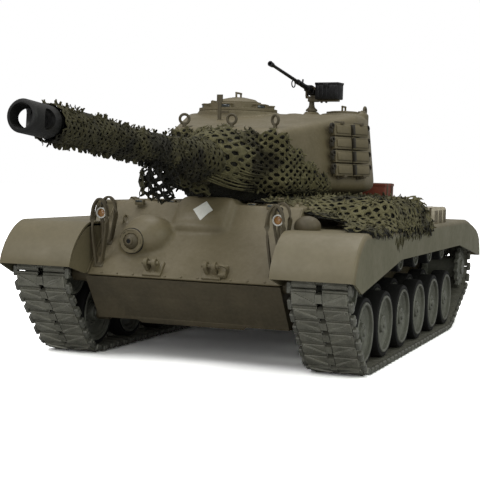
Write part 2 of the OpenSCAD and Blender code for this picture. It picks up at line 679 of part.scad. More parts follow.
// Cast body: rounded everywhere, standing on a round foot.
module cast_body(inset) {
  hull() {
    for (s = [LEFT, RIGHT]) {
      for (p = turret_low) translate([s * p[0], p[1], low_z]) sphere(cast_r - inset, $fn = 24);
      for (p = turret_high) translate([s * p[0], p[1], roof_at(p[1]) - cast_r]) sphere(cast_r - inset,
        $fn = 24);
    }
    translate([0, 0, turret_z + inset * 0.9]) cylinder(r = ring_r + 6 - inset, h = 1);
  }
}

eye_r = 3;
eye_wire = 0.9;
// Lifting eyes: [x, y, turn about the vertical]
eyes = [[1, -78, 90], [31, -80, 60], [-31, -80, 120], [turret_half_w - 22, 70, 0], [22 - turret_half_w,
  70, 0]];
vane_at = [-23, -40];
eye_post_r = 1.3;
mantlet_gap = 27;
turret_face_y = -90;
ring_play = 0.3;
seat_h = 8;

module turret_shell() {
  color(olive) place() difference() {
    union() {
      difference() {
        cast_body(0);
        cast_body(turret_wall);
        translate([0, 0, turret_z - 1]) cylinder(r = ring_r - 4, h = 8, $fn = 96);
      }
      // bearing spigot that turns in the hull roof, and the collar between hull and turret
      difference() {
        union() {
          translate([0, 0, roof_z - 4]) cylinder(r = ring_r, h = turret_z - roof_z + 5, $fn = 96);
          translate([0, 0, roof_z + ring_play]) cylinder(r = ring_r + 4.7, h = turret_z - roof_z, $fn = 96);
        }
        translate([0, 0, roof_z - 5]) cylinder(r = ring_r - 4, h = 20, $fn = 96);
      }
      // cast seats for the cupola, the loader's hatch and the pintle
      translate([cupola_at[0], cupola_at[1], cupola_seat_z - seat_h]) cylinder(r = 28, h = seat_h, $fn = 96);
      translate([loader_at[0], loader_at[1], loader_seat_z - seat_h]) cylinder(r = 16, h = seat_h, $fn = 96);
      translate([loader_at[0] + 12, loader_at[1] - 5.5, loader_seat_z - seat_h]) cube([5.5, 11, seat_h]);
      translate([pintle_at[0], pintle_at[1], pintle_seat_z - 9]) cylinder(r = 5, h = 9);
    }
    cylinder_hole([cupola_at[0], cupola_at[1], cupola_seat_z], 21.9 + running, 16);
    cylinder_hole([loader_at[0], loader_at[1], loader_seat_z], 11, 16);
    cylinder_hole([pintle_at[0], pintle_at[1], pintle_seat_z], 2.5 + running, 7);
    for (e = eyes) cylinder_hole([e[0], e[1], roof_at(e[1])], eye_post_r + running, 2.5);
    cylinder_hole([vane_at[0], vane_at[1], roof_at(vane_at[1])], eye_post_r + running, 2.5);
    box([-mantlet_gap, turret_face_y - 8, turret_z - 2], [mantlet_gap, trunnion_y + mantlet_drum_r + 2,
      136.5]);
    for (s = [LEFT, RIGHT]) axle(trunnion_y, trunnion_z, 3 + running, min(s * mantlet_gap,
      s * (mantlet_gap + 7)),
      max(s * mantlet_gap, s * (mantlet_gap + 7)));
  }
  color(olive_dark) place() for (s = [LEFT, RIGHT]) mirror([s == LEFT ? 0 : 1, 0, 0]) {
    // trunnion bearings beside the gun opening, standing on the turret floor
    difference() {
      box([mantlet_gap + 1, trunnion_y - 6, turret_z + 4.5], [mantlet_gap + 6, trunnion_y + 16,
        trunnion_z + 6]);
      axle(trunnion_y, trunnion_z, 3 + running, mantlet_gap, mantlet_gap + 7);
    }
  }
  color(olive_dark) place() translate([loader_at[0] + loader_lid_r + 1.8, loader_at[1],
    loader_seat_z + hinge_z])
    hinge_lugs(hinge_z);
}

hinge_r = 1.2;
hinge_z = hinge_r + 0.2;
pin_r = 0.7;
// Two lugs with the hinge pin through them, lying along Y about the hinge's axis.
module hinge_lugs(base) {
  for (s = [LEFT, RIGHT]) translate([0, s * 4.1, 0]) {
    rotate([90, 0, 0]) cylinder(r = hinge_r, h = 2, center = true);
    translate([-hinge_r, -1, -base]) cube([2 * hinge_r, 2, base]);
  }
  rotate([90, 0, 0]) cylinder(r = pin_r, h = 9, center = true);
}
// The lid's knuckle between the lugs, with the strap that runs to the lid.
module hinge_knuckle(strap) {
  difference() {
    union() {
      rotate([90, 0, 0]) cylinder(r = hinge_r, h = 5.8, center = true);
      translate([-strap, -2.4, -0.5]) cube([strap, 4.8, hinge_r]);
    }
    rotate([90, 0, 0]) cylinder(r = pin_r + running, h = 7, center = true);
  }
}

cupola_h = 5.2;
cupola_lid_r = 16;
cupola_hinge_x = cupola_lid_r + 1.8;
module cupola() {
  color(olive) place() translate([cupola_at[0], cupola_at[1], cupola_seat_z]) {
    difference() {
      union() {
        cylinder(r = 27.5, h = 1.8, $fn = 96);
        cylinder(r = 21.5, h = cupola_h, $fn = 96);
        translate([0, 0, -5]) cylinder(r = 21.9, h = 5.01, $fn = 96);
        // vision blocks round the ring
        for (i = [0:5]) rotate([0, 0, i * 60 + 30]) translate([18, -4, 1]) cube([7, 8, 3.4]);
      }
      translate([0, 0, -6]) cylinder(r = cupola_lid_r - 2, h = 20, $fn = 96);
    }
    translate([-cupola_hinge_x, 0, cupola_h + hinge_z]) hinge_lugs(hinge_z);
  }
}

// Round lid with a low dome and a bar handle, hinged on its -X side.
module lid(r, rise, strap, handle) {
  difference() {
    union() {
      cylinder(r = r, h = 1.4, $fn = 96);
      if (rise > 0) rotate_extrude($fn = 96) polygon([[0, 1], [r - 1.5, 1], [r - 1.5, 1.4], [r * 0.75,
        1.4 + rise * 0.55],
        [r * 0.4, 1.4 + rise * 0.9], [0, 1.4 + rise]]);
    }
    translate([-r - 4, -3, -1]) cube([5, 6, 2 + hinge_r]);
  }
  translate([-r - strap, 0, hinge_z]) mirror([1, 0, 0]) hinge_knuckle(strap + 1.2);
  translate([0, 0, 1 + rise * 0.6]) {
    for (y = [-handle / 2, handle / 2]) translate([0, y, 0]) cylinder(r = 0.7, h = 3.4 + rise * 0.4);
    translate([0, 0, 3.4 + rise * 0.4]) rotate([90, 0, 0]) cylinder(r = 0.7, h = handle + 1.4, center = true);
  }
}
module cupola_hatch() {
  color(olive) place() translate([cupola_at[0], cupola_at[1], cupola_seat_z + cupola_h])
    lid(cupola_lid_r, 3.4, cupola_hinge_x - cupola_lid_r, 9);
}
loader_lid_r = 12.6;
module loader_hatch() {
  color(olive) place() translate([loader_at[0], loader_at[1], loader_seat_z]) mirror([1, 0, 0])
    lid(loader_lid_r, 0.9, 1.8, 8);
}
module driver_hatch(s) {
  color(olive) place() translate([s * driver_hatch_x, driver_hatch_y, roof_z]) mirror([s == LEFT ? 1 : 0,
    0, 0])
    lid(driver_hatch_r, 0, 1.8, 7);
}
module driver_hatch_left() driver_hatch(LEFT);
module driver_hatch_right() driver_hatch(RIGHT);

// Four spare track shoes on two straps along the left of the turret.
module spare_track_links() {
  shoe_h = 8.8;
  face = cast_r + 0.5;
  strap_t = 1.5;
  color(steel) on_side() translate([0, norm(side_run) - track_w / 2 - 1, 20.5]) {
    for (y = [-13, 9]) translate([face, y, -19]) cube([strap_t, 4, 38]);
    for (i = [-2:1]) translate([face + strap_t + fit_gap, 0, i * shoe_h + 0.2]) {
      translate([0, -track_w / 2, 0]) cube([3, track_w, shoe_h - 0.4]);
      for (s = [LEFT, RIGHT]) translate([2.9, s * 9.3 - 7.5, 1]) cube([1.6, 15, shoe_h - 2.4]);
      translate([2.9, -1.2, 0.6]) cube([3.6, 2.4, shoe_h - 1.6]);
    }
  }
}

// Lifting eyes and the commander's vane sight, each on a post let into the cast roof.
module turret_fittings() {
  color(olive_dark) place() {
    for (e = eyes) translate([e[0], e[1], roof_at(e[1])]) rotate([0, 0, e[2]]) {
      translate([0, 0, -2.4]) cylinder(r = eye_post_r, h = 3.6 + eye_wire);
      translate([0, 0, eye_r + eye_wire + 0.9]) rotate([0, 90, 0]) rotate_extrude() translate([eye_r, 0])
        circle(r = eye_wire, $fn = 24);
    }
    translate([vane_at[0], vane_at[1], roof_at(vane_at[1])]) {
      translate([0, 0, -2.4]) cylinder(r = eye_post_r, h = 14);
      translate([-2, -0.6, 11.5]) cube([4, 1.2, 5]);
      translate([1.2, -0.8, 4]) cube([5, 1.6, 1.6]);
    }
  }
}

// Camouflage net over the left cheek of the turret.
module turret_net() {
  color(net_green) on_side() translate([cast_r + 0.5, 2, -4]) cube([net_t, 42, 26]);
}

// ---------------------------------------------------------------- gun

// Everything on the gun is drawn with the bore along -Y from the trunnion, then laid at its rest angle.
module on_gun() place() translate([0, trunnion_y, trunnion_z]) rotate([-rest_elevation, 0, 0]) children();

shield_y = -14;
shield_front = -34;
breech_r = 5.6;
module mantlet() {
  color(olive) on_gun() {
    difference() {
      union() {
        axle(0, 0, mantlet_drum_r, seat - mantlet_gap + 1, mantlet_gap - 1 - seat);
        hull() {
          for (s = [LEFT, RIGHT], z = [-8, 8]) translate([s * 21, shield_y + 2, z]) sphere(4, $fn = 24);
          for (s = [LEFT, RIGHT], z = [-6, 6]) translate([s * 10, shield_front + 5, z]) sphere(5, $fn = 24);
        }
        rotate([90, 0, 0]) cylinder(r = breech_r + 2.4, h = -shield_front + 4);
        for (s = [LEFT, RIGHT]) axle(0, 0, 3, min(s * (mantlet_gap - 2), s * (mantlet_gap + 5)),
          max(s * (mantlet_gap - 2), s * (mantlet_gap + 5)));
      }
      translate([0, 40, 0]) rotate([90, 0, 0]) cylinder(r = breech_r + fit_gap, h = 90);
      // co-axial gun port, right of the barrel
      translate([-14, -20, 2]) rotate([90, 0, 0]) cylinder(r = 1.2, h = 30);
    }
  }
}
breech_len = 20;
module gun_barrel() {
  l = barrel_len;
  color(gunmetal) on_gun() rotate([90, 0, 0]) difference() {
    union() {
      translate([0, 0, -breech_len]) cylinder(r = breech_r + 3, h = breech_len - mantlet_drum_r - 0.2);
      translate([0, 0, -breech_len]) cylinder(r = breech_r, h = breech_len + 40);
      translate([0, 0, 39.9]) cylinder(r1 = breech_r, r2 = barrel_r, h = l - brake_len - 39.8);
      translate([0, 0, l - brake_len]) rotate_extrude() polygon([[0, -1], [barrel_r + 0.8, -1],
        [barrel_r + 0.8, 0],
        [brake_r - brake_edge, 0], [brake_r, 0.8], [brake_r, brake_len - brake_edge],
        [brake_r - brake_edge, brake_len], [0, brake_len]]);
    }
    translate([0, 0, l - brake_len - 30]) cylinder(r = 2.8, h = brake_len + 31);
    translate([0, 0, l - brake_len * 0.72]) cylinder(r = brake_r - 2, h = brake_len);
    // side port of the brake, open on both sides
    translate([-brake_r - 1, 0, l - brake_len / 2]) rotate([0, 90, 0]) cylinder(r = brake_len * 0.17,
      h = 2 * brake_r + 2);
  }
}
// Camouflage net round the barrel, with a bunch hanging below it.
module barrel_net() {
  r0 = breech_r + 0.4;
  l1 = barrel_len - brake_len - 4;
  color(net_green) on_gun() rotate([90, 0, 0]) {
    rotate_extrude() polygon([[r0, 42], [15, 42], [13, 62], [8, 95], [7.4, l1 - 60], [8.6, l1], [r0, l1]]);
    translate([-7, -20, 84]) cube([14, 10, 26]);
  }
}

// ---------------------------------------------------------------- machine guns and travel lock

aa_yaw = -8.5;
aa_trunnion = 14.5;
aa_elevation = 12;
// The fork's frame: the pintle's axis, turned as the gun stands at rest.
module on_pintle() place() translate([pintle_at[0], pintle_at[1], pintle_seat_z]) rotate([0, 0, aa_yaw])
  children();
module aa_pintle() {
  color(olive_dark) on_pintle() {
    translate([0, 0, -6]) cylinder(r = 2.5, h = 6.2);
    translate([0, 0, 0.2]) cylinder(r = 3.6, h = 1.6);
    translate([0, 0, 1.7]) cylinder(r = 1.9, h = aa_trunnion - 6.5);
    translate([-4.6, -1.6, aa_trunnion - 5]) cube([9.2, 3.2, 1.4]);
    for (s = [LEFT, RIGHT]) {
      translate([s * 4 - 0.6, -2, aa_trunnion - 3.7]) cube([1.2, 4, 3.7]);
      translate([s * 4 - 0.6, 0, aa_trunnion]) rotate([0, 90, 0]) cylinder(r = 2, h = 1.2);
    }
    translate([-4.5, 0, aa_trunnion]) rotate([0, 90, 0]) cylinder(r = 0.8, h = 9);
    // tray and ammunition box on the left
    translate([4.5, -4.5, aa_trunnion - 7.6]) cube([18, 4, 1.4]);
    translate([5.8, -7.5, aa_trunnion - 6.2]) cube([18, 9.5, 12]);
    translate([-2, -3, aa_trunnion - 7.6]) cube([7, 5, 2.6]);
  }
}
module aa_gun() {
  color(gunmetal) on_pintle() translate([0, 0, aa_trunnion]) rotate([-aa_elevation, 0, 0]) difference() {
    union() {
      translate([-2.2, -9, -2]) cube([4.4, 27, 5]);
      translate([-2.6, -3, -2.4]) cube([5.2, 8, 4.2]);
      rotate([90, 0, 0]) translate([0, 0, 8.9]) cylinder(r = 1.9, h = 9);
      rotate([90, 0, 0]) translate([0, 0, 17.8]) cylinder(r = 1.25, h = 48);
      rotate([90, 0, 0]) translate([0, 0, 63]) cylinder(r = 1.6, h = 4);
      // spade grips
      translate([-2.2, 17.9, -1]) cube([4.4, 1.2, 4]);
      for (s = [LEFT, RIGHT]) translate([s * 1.9, 21, -2.6]) cylinder(r = 0.8, h = 6.6);
      for (z = [-1, 2.6]) translate([-1.9, 18.9, z]) cube([3.8, 2.4, 0.9]);
      // sights and cocking handle
      translate([-0.6, 8, 2.9]) cube([1.2, 1, 2.4]);
      translate([-0.5, -17, 1.5]) cube([1, 1, 2.6]);
      translate([-4.2, 12, 0]) cube([2.2, 1.2, 1.2]);
    }
    translate([-4, 0, 0]) rotate([0, 90, 0]) cylinder(r = 0.8 + running, h = 8);
    rotate([90, 0, 0]) translate([0, 0, 60]) cylinder(r = 0.7, h = 10);
  }
}
module bow_mg() {
  color(gunmetal) place() translate(bow_mg_at) difference() {
    union() {
      sphere(bow_ball_r);
      rotate([90, 0, 0]) cylinder(r = 1.5, h = 12);
      rotate([-90, 0, 0]) cylinder(r = 1.5, h = 9);
    }
    rotate([90, 0, 0]) translate([0, 0, 8]) cylinder(r = 0.8, h = 5);
  }
}

lock_y = 186;
lock_len = 24;
lock_h = deck_t + deck_rib_h + 0.9 + seat;
// Gun travel lock folded flat on the rear deck: two legs, a cross tube and the half-round cradle.
module travel_lock() {
  color(olive) place() translate([0, lock_y, roof_z + lock_h]) {
    for (s = [LEFT, RIGHT]) {
      difference() {
        translate([s * 12 - 1.5, 0, 0]) union() {
          rotate([0, 90, 0]) cylinder(r = 1.8, h = 3);
          translate([0, -lock_len, -0.9]) cube([3, lock_len, 1.8]);
        }
        translate([s * 12 - 3, 0, 0]) rotate([0, 90, 0]) cylinder(r = 1 + running, h = 6);
      }
    }
    difference() {
      translate([-13.5, -lock_len - 6, -0.9]) cube([27, 8, 1.8]);
      translate([0, -lock_len - 9, -2]) cylinder(r = 8, h = 4);
    }
  }
}
// Bearings of the travel lock on the hull's tail.
module lock_bearings() {
  translate([0, lock_y, roof_z + lock_h]) {
    for (s = [LEFT, RIGHT]) {
      translate([s * 15.3 - 1.3, 0, 0]) rotate([0, 90, 0]) cylinder(r = 1.8, h = 2.6);
      translate([s * 15.3 - 1.3, -1.8, -lock_h]) cube([2.6, 3.6, lock_h]);
    }
    translate([-16.6, 0, 0]) rotate([0, 90, 0]) cylinder(r = 1, h = 33.2);
  }
}
// Lugs of the drivers' hatches on the hull roof.
module driver_hinges() {
  for (s = [LEFT, RIGHT]) translate([s * (driver_hatch_x + driver_hatch_r + 1.8), driver_hatch_y,
    roof_z + hinge_z])
    hinge_lugs(hinge_z);
}

lower_hull();
upper_hull();
fender_left();
fender_right();
stowage_boxes();
engine_deck();
rear_fittings();
tow_clevises();
headlights();
headlight_guards();
track_left();
track_right();
suspension_arms();
gearboxes();
battery_and_board();
deck_cargo();
fender_net();
screws();
road_wheel_left_1();
road_wheel_left_2();
road_wheel_left_3();
road_wheel_left_4();
road_wheel_left_5();
road_wheel_left_6();
road_wheel_right_1();
road_wheel_right_2();
road_wheel_right_3();
road_wheel_right_4();
road_wheel_right_5();
road_wheel_right_6();
roller_left_1();
roller_left_2();
roller_left_3();
roller_left_4();
roller_left_5();
roller_right_1();
roller_right_2();
roller_right_3();
roller_right_4();
roller_right_5();
idler_left();
idler_right();
sprocket_left();
sprocket_right();
turret_shell();
cupola();
spare_track_links();
turret_fittings();
turret_net();
mantlet();
gun_barrel();
barrel_net();
cupola_hatch();
loader_hatch();
driver_hatch_left();
driver_hatch_right();
aa_pintle();
aa_gun();
bow_mg();
travel_lock();
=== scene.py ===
import json
import math
import random

import bmesh
import bpy
from mathutils import Matrix, Vector, noise
from mathutils.bvhtree import BVHTree


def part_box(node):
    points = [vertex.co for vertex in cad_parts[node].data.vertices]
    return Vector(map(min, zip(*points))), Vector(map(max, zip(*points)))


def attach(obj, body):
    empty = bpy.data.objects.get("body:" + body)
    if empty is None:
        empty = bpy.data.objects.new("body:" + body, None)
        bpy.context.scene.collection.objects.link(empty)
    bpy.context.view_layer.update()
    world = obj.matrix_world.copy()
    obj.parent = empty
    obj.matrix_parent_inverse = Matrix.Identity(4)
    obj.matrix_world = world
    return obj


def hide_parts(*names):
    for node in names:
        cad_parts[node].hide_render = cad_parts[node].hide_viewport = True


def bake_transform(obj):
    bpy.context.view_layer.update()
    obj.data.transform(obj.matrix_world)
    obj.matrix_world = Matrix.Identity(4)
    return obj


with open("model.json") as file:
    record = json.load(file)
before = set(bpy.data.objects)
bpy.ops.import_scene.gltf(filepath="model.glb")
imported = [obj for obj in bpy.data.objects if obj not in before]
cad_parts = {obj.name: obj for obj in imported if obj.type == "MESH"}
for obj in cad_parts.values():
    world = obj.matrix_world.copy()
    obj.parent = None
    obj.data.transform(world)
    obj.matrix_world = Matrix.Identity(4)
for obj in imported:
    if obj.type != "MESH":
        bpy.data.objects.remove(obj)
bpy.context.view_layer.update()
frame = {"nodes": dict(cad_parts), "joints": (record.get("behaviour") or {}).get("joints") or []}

MM = 0.001
LEFT, RIGHT = 1, -1
SIDES = {"left": LEFT, "right": RIGHT}
joints = {j["name"]: j for j in frame["joints"]}
# Pieces are shaped in millimetres about the turret's axis and then set in their place.
ring_y = joints["turret_traverse"]["pos_m"][1]
PLACE = Matrix.Translation((0, ring_y, 0)) @ Matrix.Scale(MM, 4)
TO_MM = PLACE.inverted()


def span(node):
    """Lowest and highest corner of a CAD node, in millimetres about the turret's axis."""
    low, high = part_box(node)
    return TO_MM @ low, TO_MM @ high


def pivot(name):
    return TO_MM @ Vector(joints[name]["pos_m"])


# ---------------- solids


def move(x=0.0, y=0.0, z=0.0):
    return Matrix.Translation((x, y, z))


def turn(degrees, axis):
    return Matrix.Rotation(math.radians(degrees), 4, axis)


MIRROR_X = Matrix.Scale(-1, 4, (1, 0, 0))
ALONG_X = turn(90, "Y")
ALONG_Y = turn(90, "X")


def finish_of(bm, number):
    for face in bm.faces:
        face.material_index = number
    return bm


def rounded(bm, edges, offset, steps=2):
    bmesh.ops.bevel(bm, geom=edges, offset=offset, affect="EDGES", segments=steps, profile=0.5, material=-1)


def ring_of(bm, points):
    """Corners joined by edges into a ring."""
    corners = [bm.verts.new(p) for p in points]
    return corners, [bm.edges.new(pair) for pair in zip(corners, corners[1:] + corners[:1])]


def lift_new(bm, geom, vec):
    bmesh.ops.translate(bm, vec=vec, verts=[v for v in geom if isinstance(v, bmesh.types.BMVert)])


def mesh_of(bm, name="solid"):
    mesh = bpy.data.meshes.new(name)
    bm.to_mesh(mesh)
    bm.free()
    return mesh


def in_scene(name, data):
    obj = bpy.data.objects.new(name, data)
    bpy.context.scene.collection.objects.link(obj)
    return obj


def with_modifiers(obj):
    """An object's mesh after its modifiers, ready to be shaped further."""
    bpy.context.view_layer.update()
    mesh = bpy.data.meshes.new_from_object(obj.evaluated_get(bpy.context.evaluated_depsgraph_get()))
    bm = bmesh.new()
    bm.from_mesh(mesh)
    bpy.data.meshes.remove(mesh)
    return bm


def read_off(marks, x):
    """A value read from a list of (place, value), with straight lines between its places."""
    for (x0, v0), (x1, v1) in zip(marks, marks[1:]):
        if x <= x1:
            return v0 + (v1 - v0) * max(0, x - x0) / (x1 - x0)
    return marks[-1][1]


def block(low, high, rounding=0.0, steps=2, finish=0):
    """A block between two corners, with rounded edges."""
    bm = bmesh.new()
    low, high = Vector(low), Vector(high)
    bmesh.ops.create_cube(bm, size=1)
    bmesh.ops.transform(bm, matrix=Matrix.Translation((low + high) / 2) @ Matrix.Diagonal((*(high - low), 1)),
                        verts=bm.verts)
    if rounding:
        rounded(bm, bm.edges[:], rounding, steps)
    return finish_of(bm, finish)


def rod(radius, height, tip=None, sides=24, rounding=0.0, finish=0):
    """A round bar along Z from its foot at the origin; tip is its radius at the top."""
    bm = bmesh.new()
    bmesh.ops.create_cone(bm, cap_ends=True, segments=sides, radius1=radius,
                          radius2=radius if tip is None else tip, depth=height)
    bmesh.ops.translate(bm, vec=(0, 0, height / 2), verts=bm.verts)
    if rounding:
        rims = [e for e in bm.edges if len(e.link_faces) == 2 and e.calc_face_angle() > 1]
        rounded(bm, rims, rounding)
    return finish_of(bm, finish)


def turned(profile, steps=40, finish=0):
    """A solid turned about Z from its profile, a list of (radius, height)."""
    bm = bmesh.new()
    verts, edges = ring_of(bm, [(r, 0, h) for r, h in profile])
    bmesh.ops.spin(bm, geom=verts + edges, cent=(0, 0, 0), axis=(0, 0, 1), angle=math.tau, steps=steps,
                   use_merge=True)
    bmesh.ops.remove_doubles(bm, verts=bm.verts, dist=1e-4)
    bmesh.ops.dissolve_degenerate(bm, edges=bm.edges[:], dist=1e-4)
    return finish_of(bm, finish)


def ball(radius, stretch=(1, 1, 1), finish=0, detail=16):
    bm = bmesh.new()
    bmesh.ops.create_uvsphere(bm, u_segments=detail * 2, v_segments=detail, radius=radius)
    bmesh.ops.scale(bm, vec=stretch, verts=bm.verts)
    return finish_of(bm, finish)


def swept(points, section, closed=False, finish=0):
    """A bar of a given section, a list of (side, up), drawn along points. Up is as near +Z as the path lets it."""
    bm = bmesh.new()
    points = [Vector(p) for p in points]
    rings = []
    count = len(points)
    for i, p in enumerate(points):
        before = points[(i - 1) % count if closed else max(i - 1, 0)]
        after = points[(i + 1) % count if closed else min(i + 1, count - 1)]
        ahead = (after - before).normalized()
        side = ahead.cross(Vector((0, 0, 1)))
        side = side.normalized() if side.length > 1e-3 else Vector((1, 0, 0))
        up = side.cross(ahead)
        rings.append(ring_of(bm, [p + side * a + up * b for a, b in section])[1])
    for one, other in zip(rings, rings[1:] + rings[:1] if closed else rings[1:]):
        bmesh.ops.bridge_loops(bm, edges=one + other)
    if not closed:
        bmesh.ops.holes_fill(bm, edges=rings[0] + rings[-1], sides=0)
    return finish_of(bm, finish)


def round_section(radius, sides=10):
    angles = [math.tau * i / sides for i in range(sides)]
    return [(radius * math.cos(a), radius * math.sin(a)) for a in angles]


def face_of(bm, points):
    """One face inside a ring of edges, which may turn inwards at some corners."""
    corners, ring = ring_of(bm, points)
    bmesh.ops.contextual_create(bm, geom=ring)
    return corners


def plate_of(outline, thickness, rounding=0.0, finish=0):
    """A flat plate, standing up along Z from its outline in X and Y."""
    bm = bmesh.new()
    face_of(bm, [(x, y, 0) for x, y in outline])
    lift_new(bm, bmesh.ops.extrude_face_region(bm, geom=bm.faces[:])["geom"], (0, 0, thickness))
    bmesh.ops.contextual_create(bm, geom=[e for e in bm.edges if e.is_boundary])
    if rounding:
        rounded(bm, bm.edges[:], rounding)
    return finish_of(bm, finish)


def as_stamp(bm):
    """Keeps a solid as a mesh that can be set down many times."""
    bmesh.ops.recalc_face_normals(bm, faces=bm.faces[:])
    return mesh_of(bm)


def set_down(part, stamp, where=Matrix()):
    placed = stamp.copy()
    placed.transform(where)
    part.from_mesh(placed)
    bpy.data.meshes.remove(placed)


def add(part, solid, where=Matrix()):
    """Adds one solid to a piece."""
    stamp = as_stamp(solid)
    set_down(part, stamp, where)
    bpy.data.meshes.remove(stamp)


def hex_bolt(radius=0.9, height=0.7):
    return rod(radius, height, tip=radius * 0.9, sides=6)


def rivet(radius=0.6):
    bm = bmesh.new()
    bmesh.ops.create_uvsphere(bm, u_segments=8, v_segments=6, radius=radius)
    bmesh.ops.scale(bm, vec=(1, 1, 0.6), verts=bm.verts)
    return bm


def merged(*nodes, flat=0.6):
    """The CAD's own solids with their triangles joined into plain faces, to be finished further."""
    bm = bmesh.new()
    for name in nodes:
        bm.from_mesh(frame["nodes"][name].data)
    finish_of(bm, 0)
    bmesh.ops.transform(bm, matrix=TO_MM, verts=bm.verts)
    bmesh.ops.remove_doubles(bm, verts=bm.verts, dist=2e-3)
    bmesh.ops.dissolve_limit(bm, angle_limit=math.radians(flat), verts=bm.verts, edges=bm.edges)
    return bm


def piece(name, part, body, finishes, replaces=(), crease=34, bevel=0.0, outward=True):
    """Sets a finished piece in its place, on its body."""
    bmesh.ops.transform(part, matrix=PLACE, verts=part.verts)
    if outward:
        bmesh.ops.recalc_face_normals(part, faces=part.faces[:])
    mesh = mesh_of(part, name)
    for finish in finishes:
        mesh.materials.append(finish)
    mesh.shade_smooth()
    mesh.set_sharp_from_angle(angle=math.radians(crease))
    obj = in_scene(name, mesh)
    if bevel:
        edge = obj.modifiers.new("rounded edges", "BEVEL")
        edge.width = bevel * MM
        edge.segments = 2
        edge.limit_method = "ANGLE"
        edge.angle_limit = math.radians(35)
        edge.harden_normals = True
    if body:
        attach(obj, body)
    if replaces:
        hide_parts(*replaces)
    return obj


def cast_skin(bm, voxel, rounds, keep=None):
    """Melts a solid's corners together, as a casting's are. keep says which points stay sharp."""
    rough = in_scene("rough casting", as_stamp(bm))
    skin = rough.modifiers.new("skin", "REMESH")
    skin.mode = "VOXEL"
    skin.voxel_size = voxel
    bm = with_modifiers(rough)
    bpy.data.meshes.remove(rough.data)
    soft = [v for v in bm.verts if keep is None or not keep(v.co)]
    for _ in range(rounds):
        bmesh.ops.smooth_vert(bm, verts=soft, factor=0.5, use_axis_x=True, use_axis_y=True, use_axis_z=True)
    return bm


# ---------------- finishes


def rgb(red, green, blue):
    return [((c / 255 + 0.055) / 1.055) ** 2.4 if c > 10 else c / 3294.6 for c in (red, green, blue)] + [1.0]


PALE_DUST = rgb(128, 117, 92)


def node(tree, kind, sockets=None, **settings):
    """Adds a node and fills its sockets, each with a value or a link."""
    made = tree.nodes.new("ShaderNode" + kind)
    for name, value in settings.items():
        setattr(made, name, value)
    for name, value in (sockets or {}).items():
        if isinstance(value, bpy.types.NodeSocket):
            tree.links.new(value, made.inputs[name])
        else:
            made.inputs[name].default_value = value
    return made


def maths(tree, how, a, b=0.0, clamp=False):
    return node(tree, "Math", {0: a, 1: b}, operation=how, use_clamp=clamp).outputs[0]


def blended(tree, share, a, b, how="MIX"):
    return node(tree, "Mix", {0: share, 6: a, 7: b}, data_type="RGBA", blend_type=how).outputs[2]


def between(tree, value, low, high, to_low=0.0, to_high=1.0):
    return node(tree, "MapRange", {"Value": value, "From Min": low, "From Max": high, "To Min": to_low,
                                   "To Max": to_high}).outputs["Result"]


def grain(tree, scale, detail=3.0, roughness=0.55, distortion=0.0):
    where = node(tree, "TexCoord").outputs["Object"]
    return node(tree, "TexNoise", {"Vector": where, "Scale": scale, "Detail": detail, "Roughness": roughness,
                                   "Distortion": distortion}).outputs["Fac"]


def effect(name, inputs, outputs):
    """A shader node group with named sockets."""
    tree = bpy.data.node_groups.new(name, "ShaderNodeTree")
    for label, kind, value in inputs:
        tree.interface.new_socket(label, in_out="INPUT", socket_type="NodeSocket" + kind).default_value = value
    for label, kind in outputs:
        tree.interface.new_socket(label, in_out="OUTPUT", socket_type="NodeSocket" + kind)
    return tree, tree.nodes.new("NodeGroupInput").outputs, tree.nodes.new("NodeGroupOutput").inputs


def make_mottle():
    tree, given, out = effect("mottled coat", [("Colour", "Color", (0.1, 0.1, 0.1, 1)),
                                               ("Second colour", "Color", (0.1, 0.1, 0.1, 1)), ("Size", "Float", 60.0)],
                              [("Colour", "Color"), ("Patches", "Float")])
    where = node(tree, "TexCoord").outputs["Object"]
    wide = node(tree, "TexNoise", {"Vector": where, "Scale": given["Size"], "Detail": 4.0, "Roughness": 0.6})
    fine_size = maths(tree, "MULTIPLY", given["Size"], 9.0)
    fine = node(tree, "TexNoise", {"Vector": where, "Scale": fine_size, "Detail": 2.0})
    both = maths(tree, "ADD", maths(tree, "MULTIPLY", wide.outputs["Fac"], 0.7),
                 maths(tree, "MULTIPLY", fine.outputs["Fac"], 0.3))
    share = between(tree, both, 0.38, 0.62)
    tree.links.new(blended(tree, share, given["Colour"], given["Second colour"]), out["Colour"])
    tree.links.new(share, out["Patches"])
    return tree


def make_wear():
    tree, given, out = effect("rubbed edges", [("Radius", "Float", 0.0006), ("Strength", "Float", 1.0)],
                              [("Mask", "Float")])
    rounded = node(tree, "Bevel", {"Radius": given["Radius"]}, samples=4).outputs["Normal"]
    plain = node(tree, "NewGeometry").outputs["Normal"]
    facing = node(tree, "VectorMath", {0: rounded, 1: plain}, operation="DOT_PRODUCT").outputs["Value"]
    edge = between(tree, maths(tree, "SUBTRACT", 1.0, facing), 0.02, 0.2)
    patchy = between(tree, grain(tree, 260.0, 4.0, 0.65), 0.4, 0.6)
    mask = maths(tree, "MULTIPLY", maths(tree, "MULTIPLY", edge, patchy), given["Strength"], clamp=True)
    tree.links.new(mask, out["Mask"])
    return tree


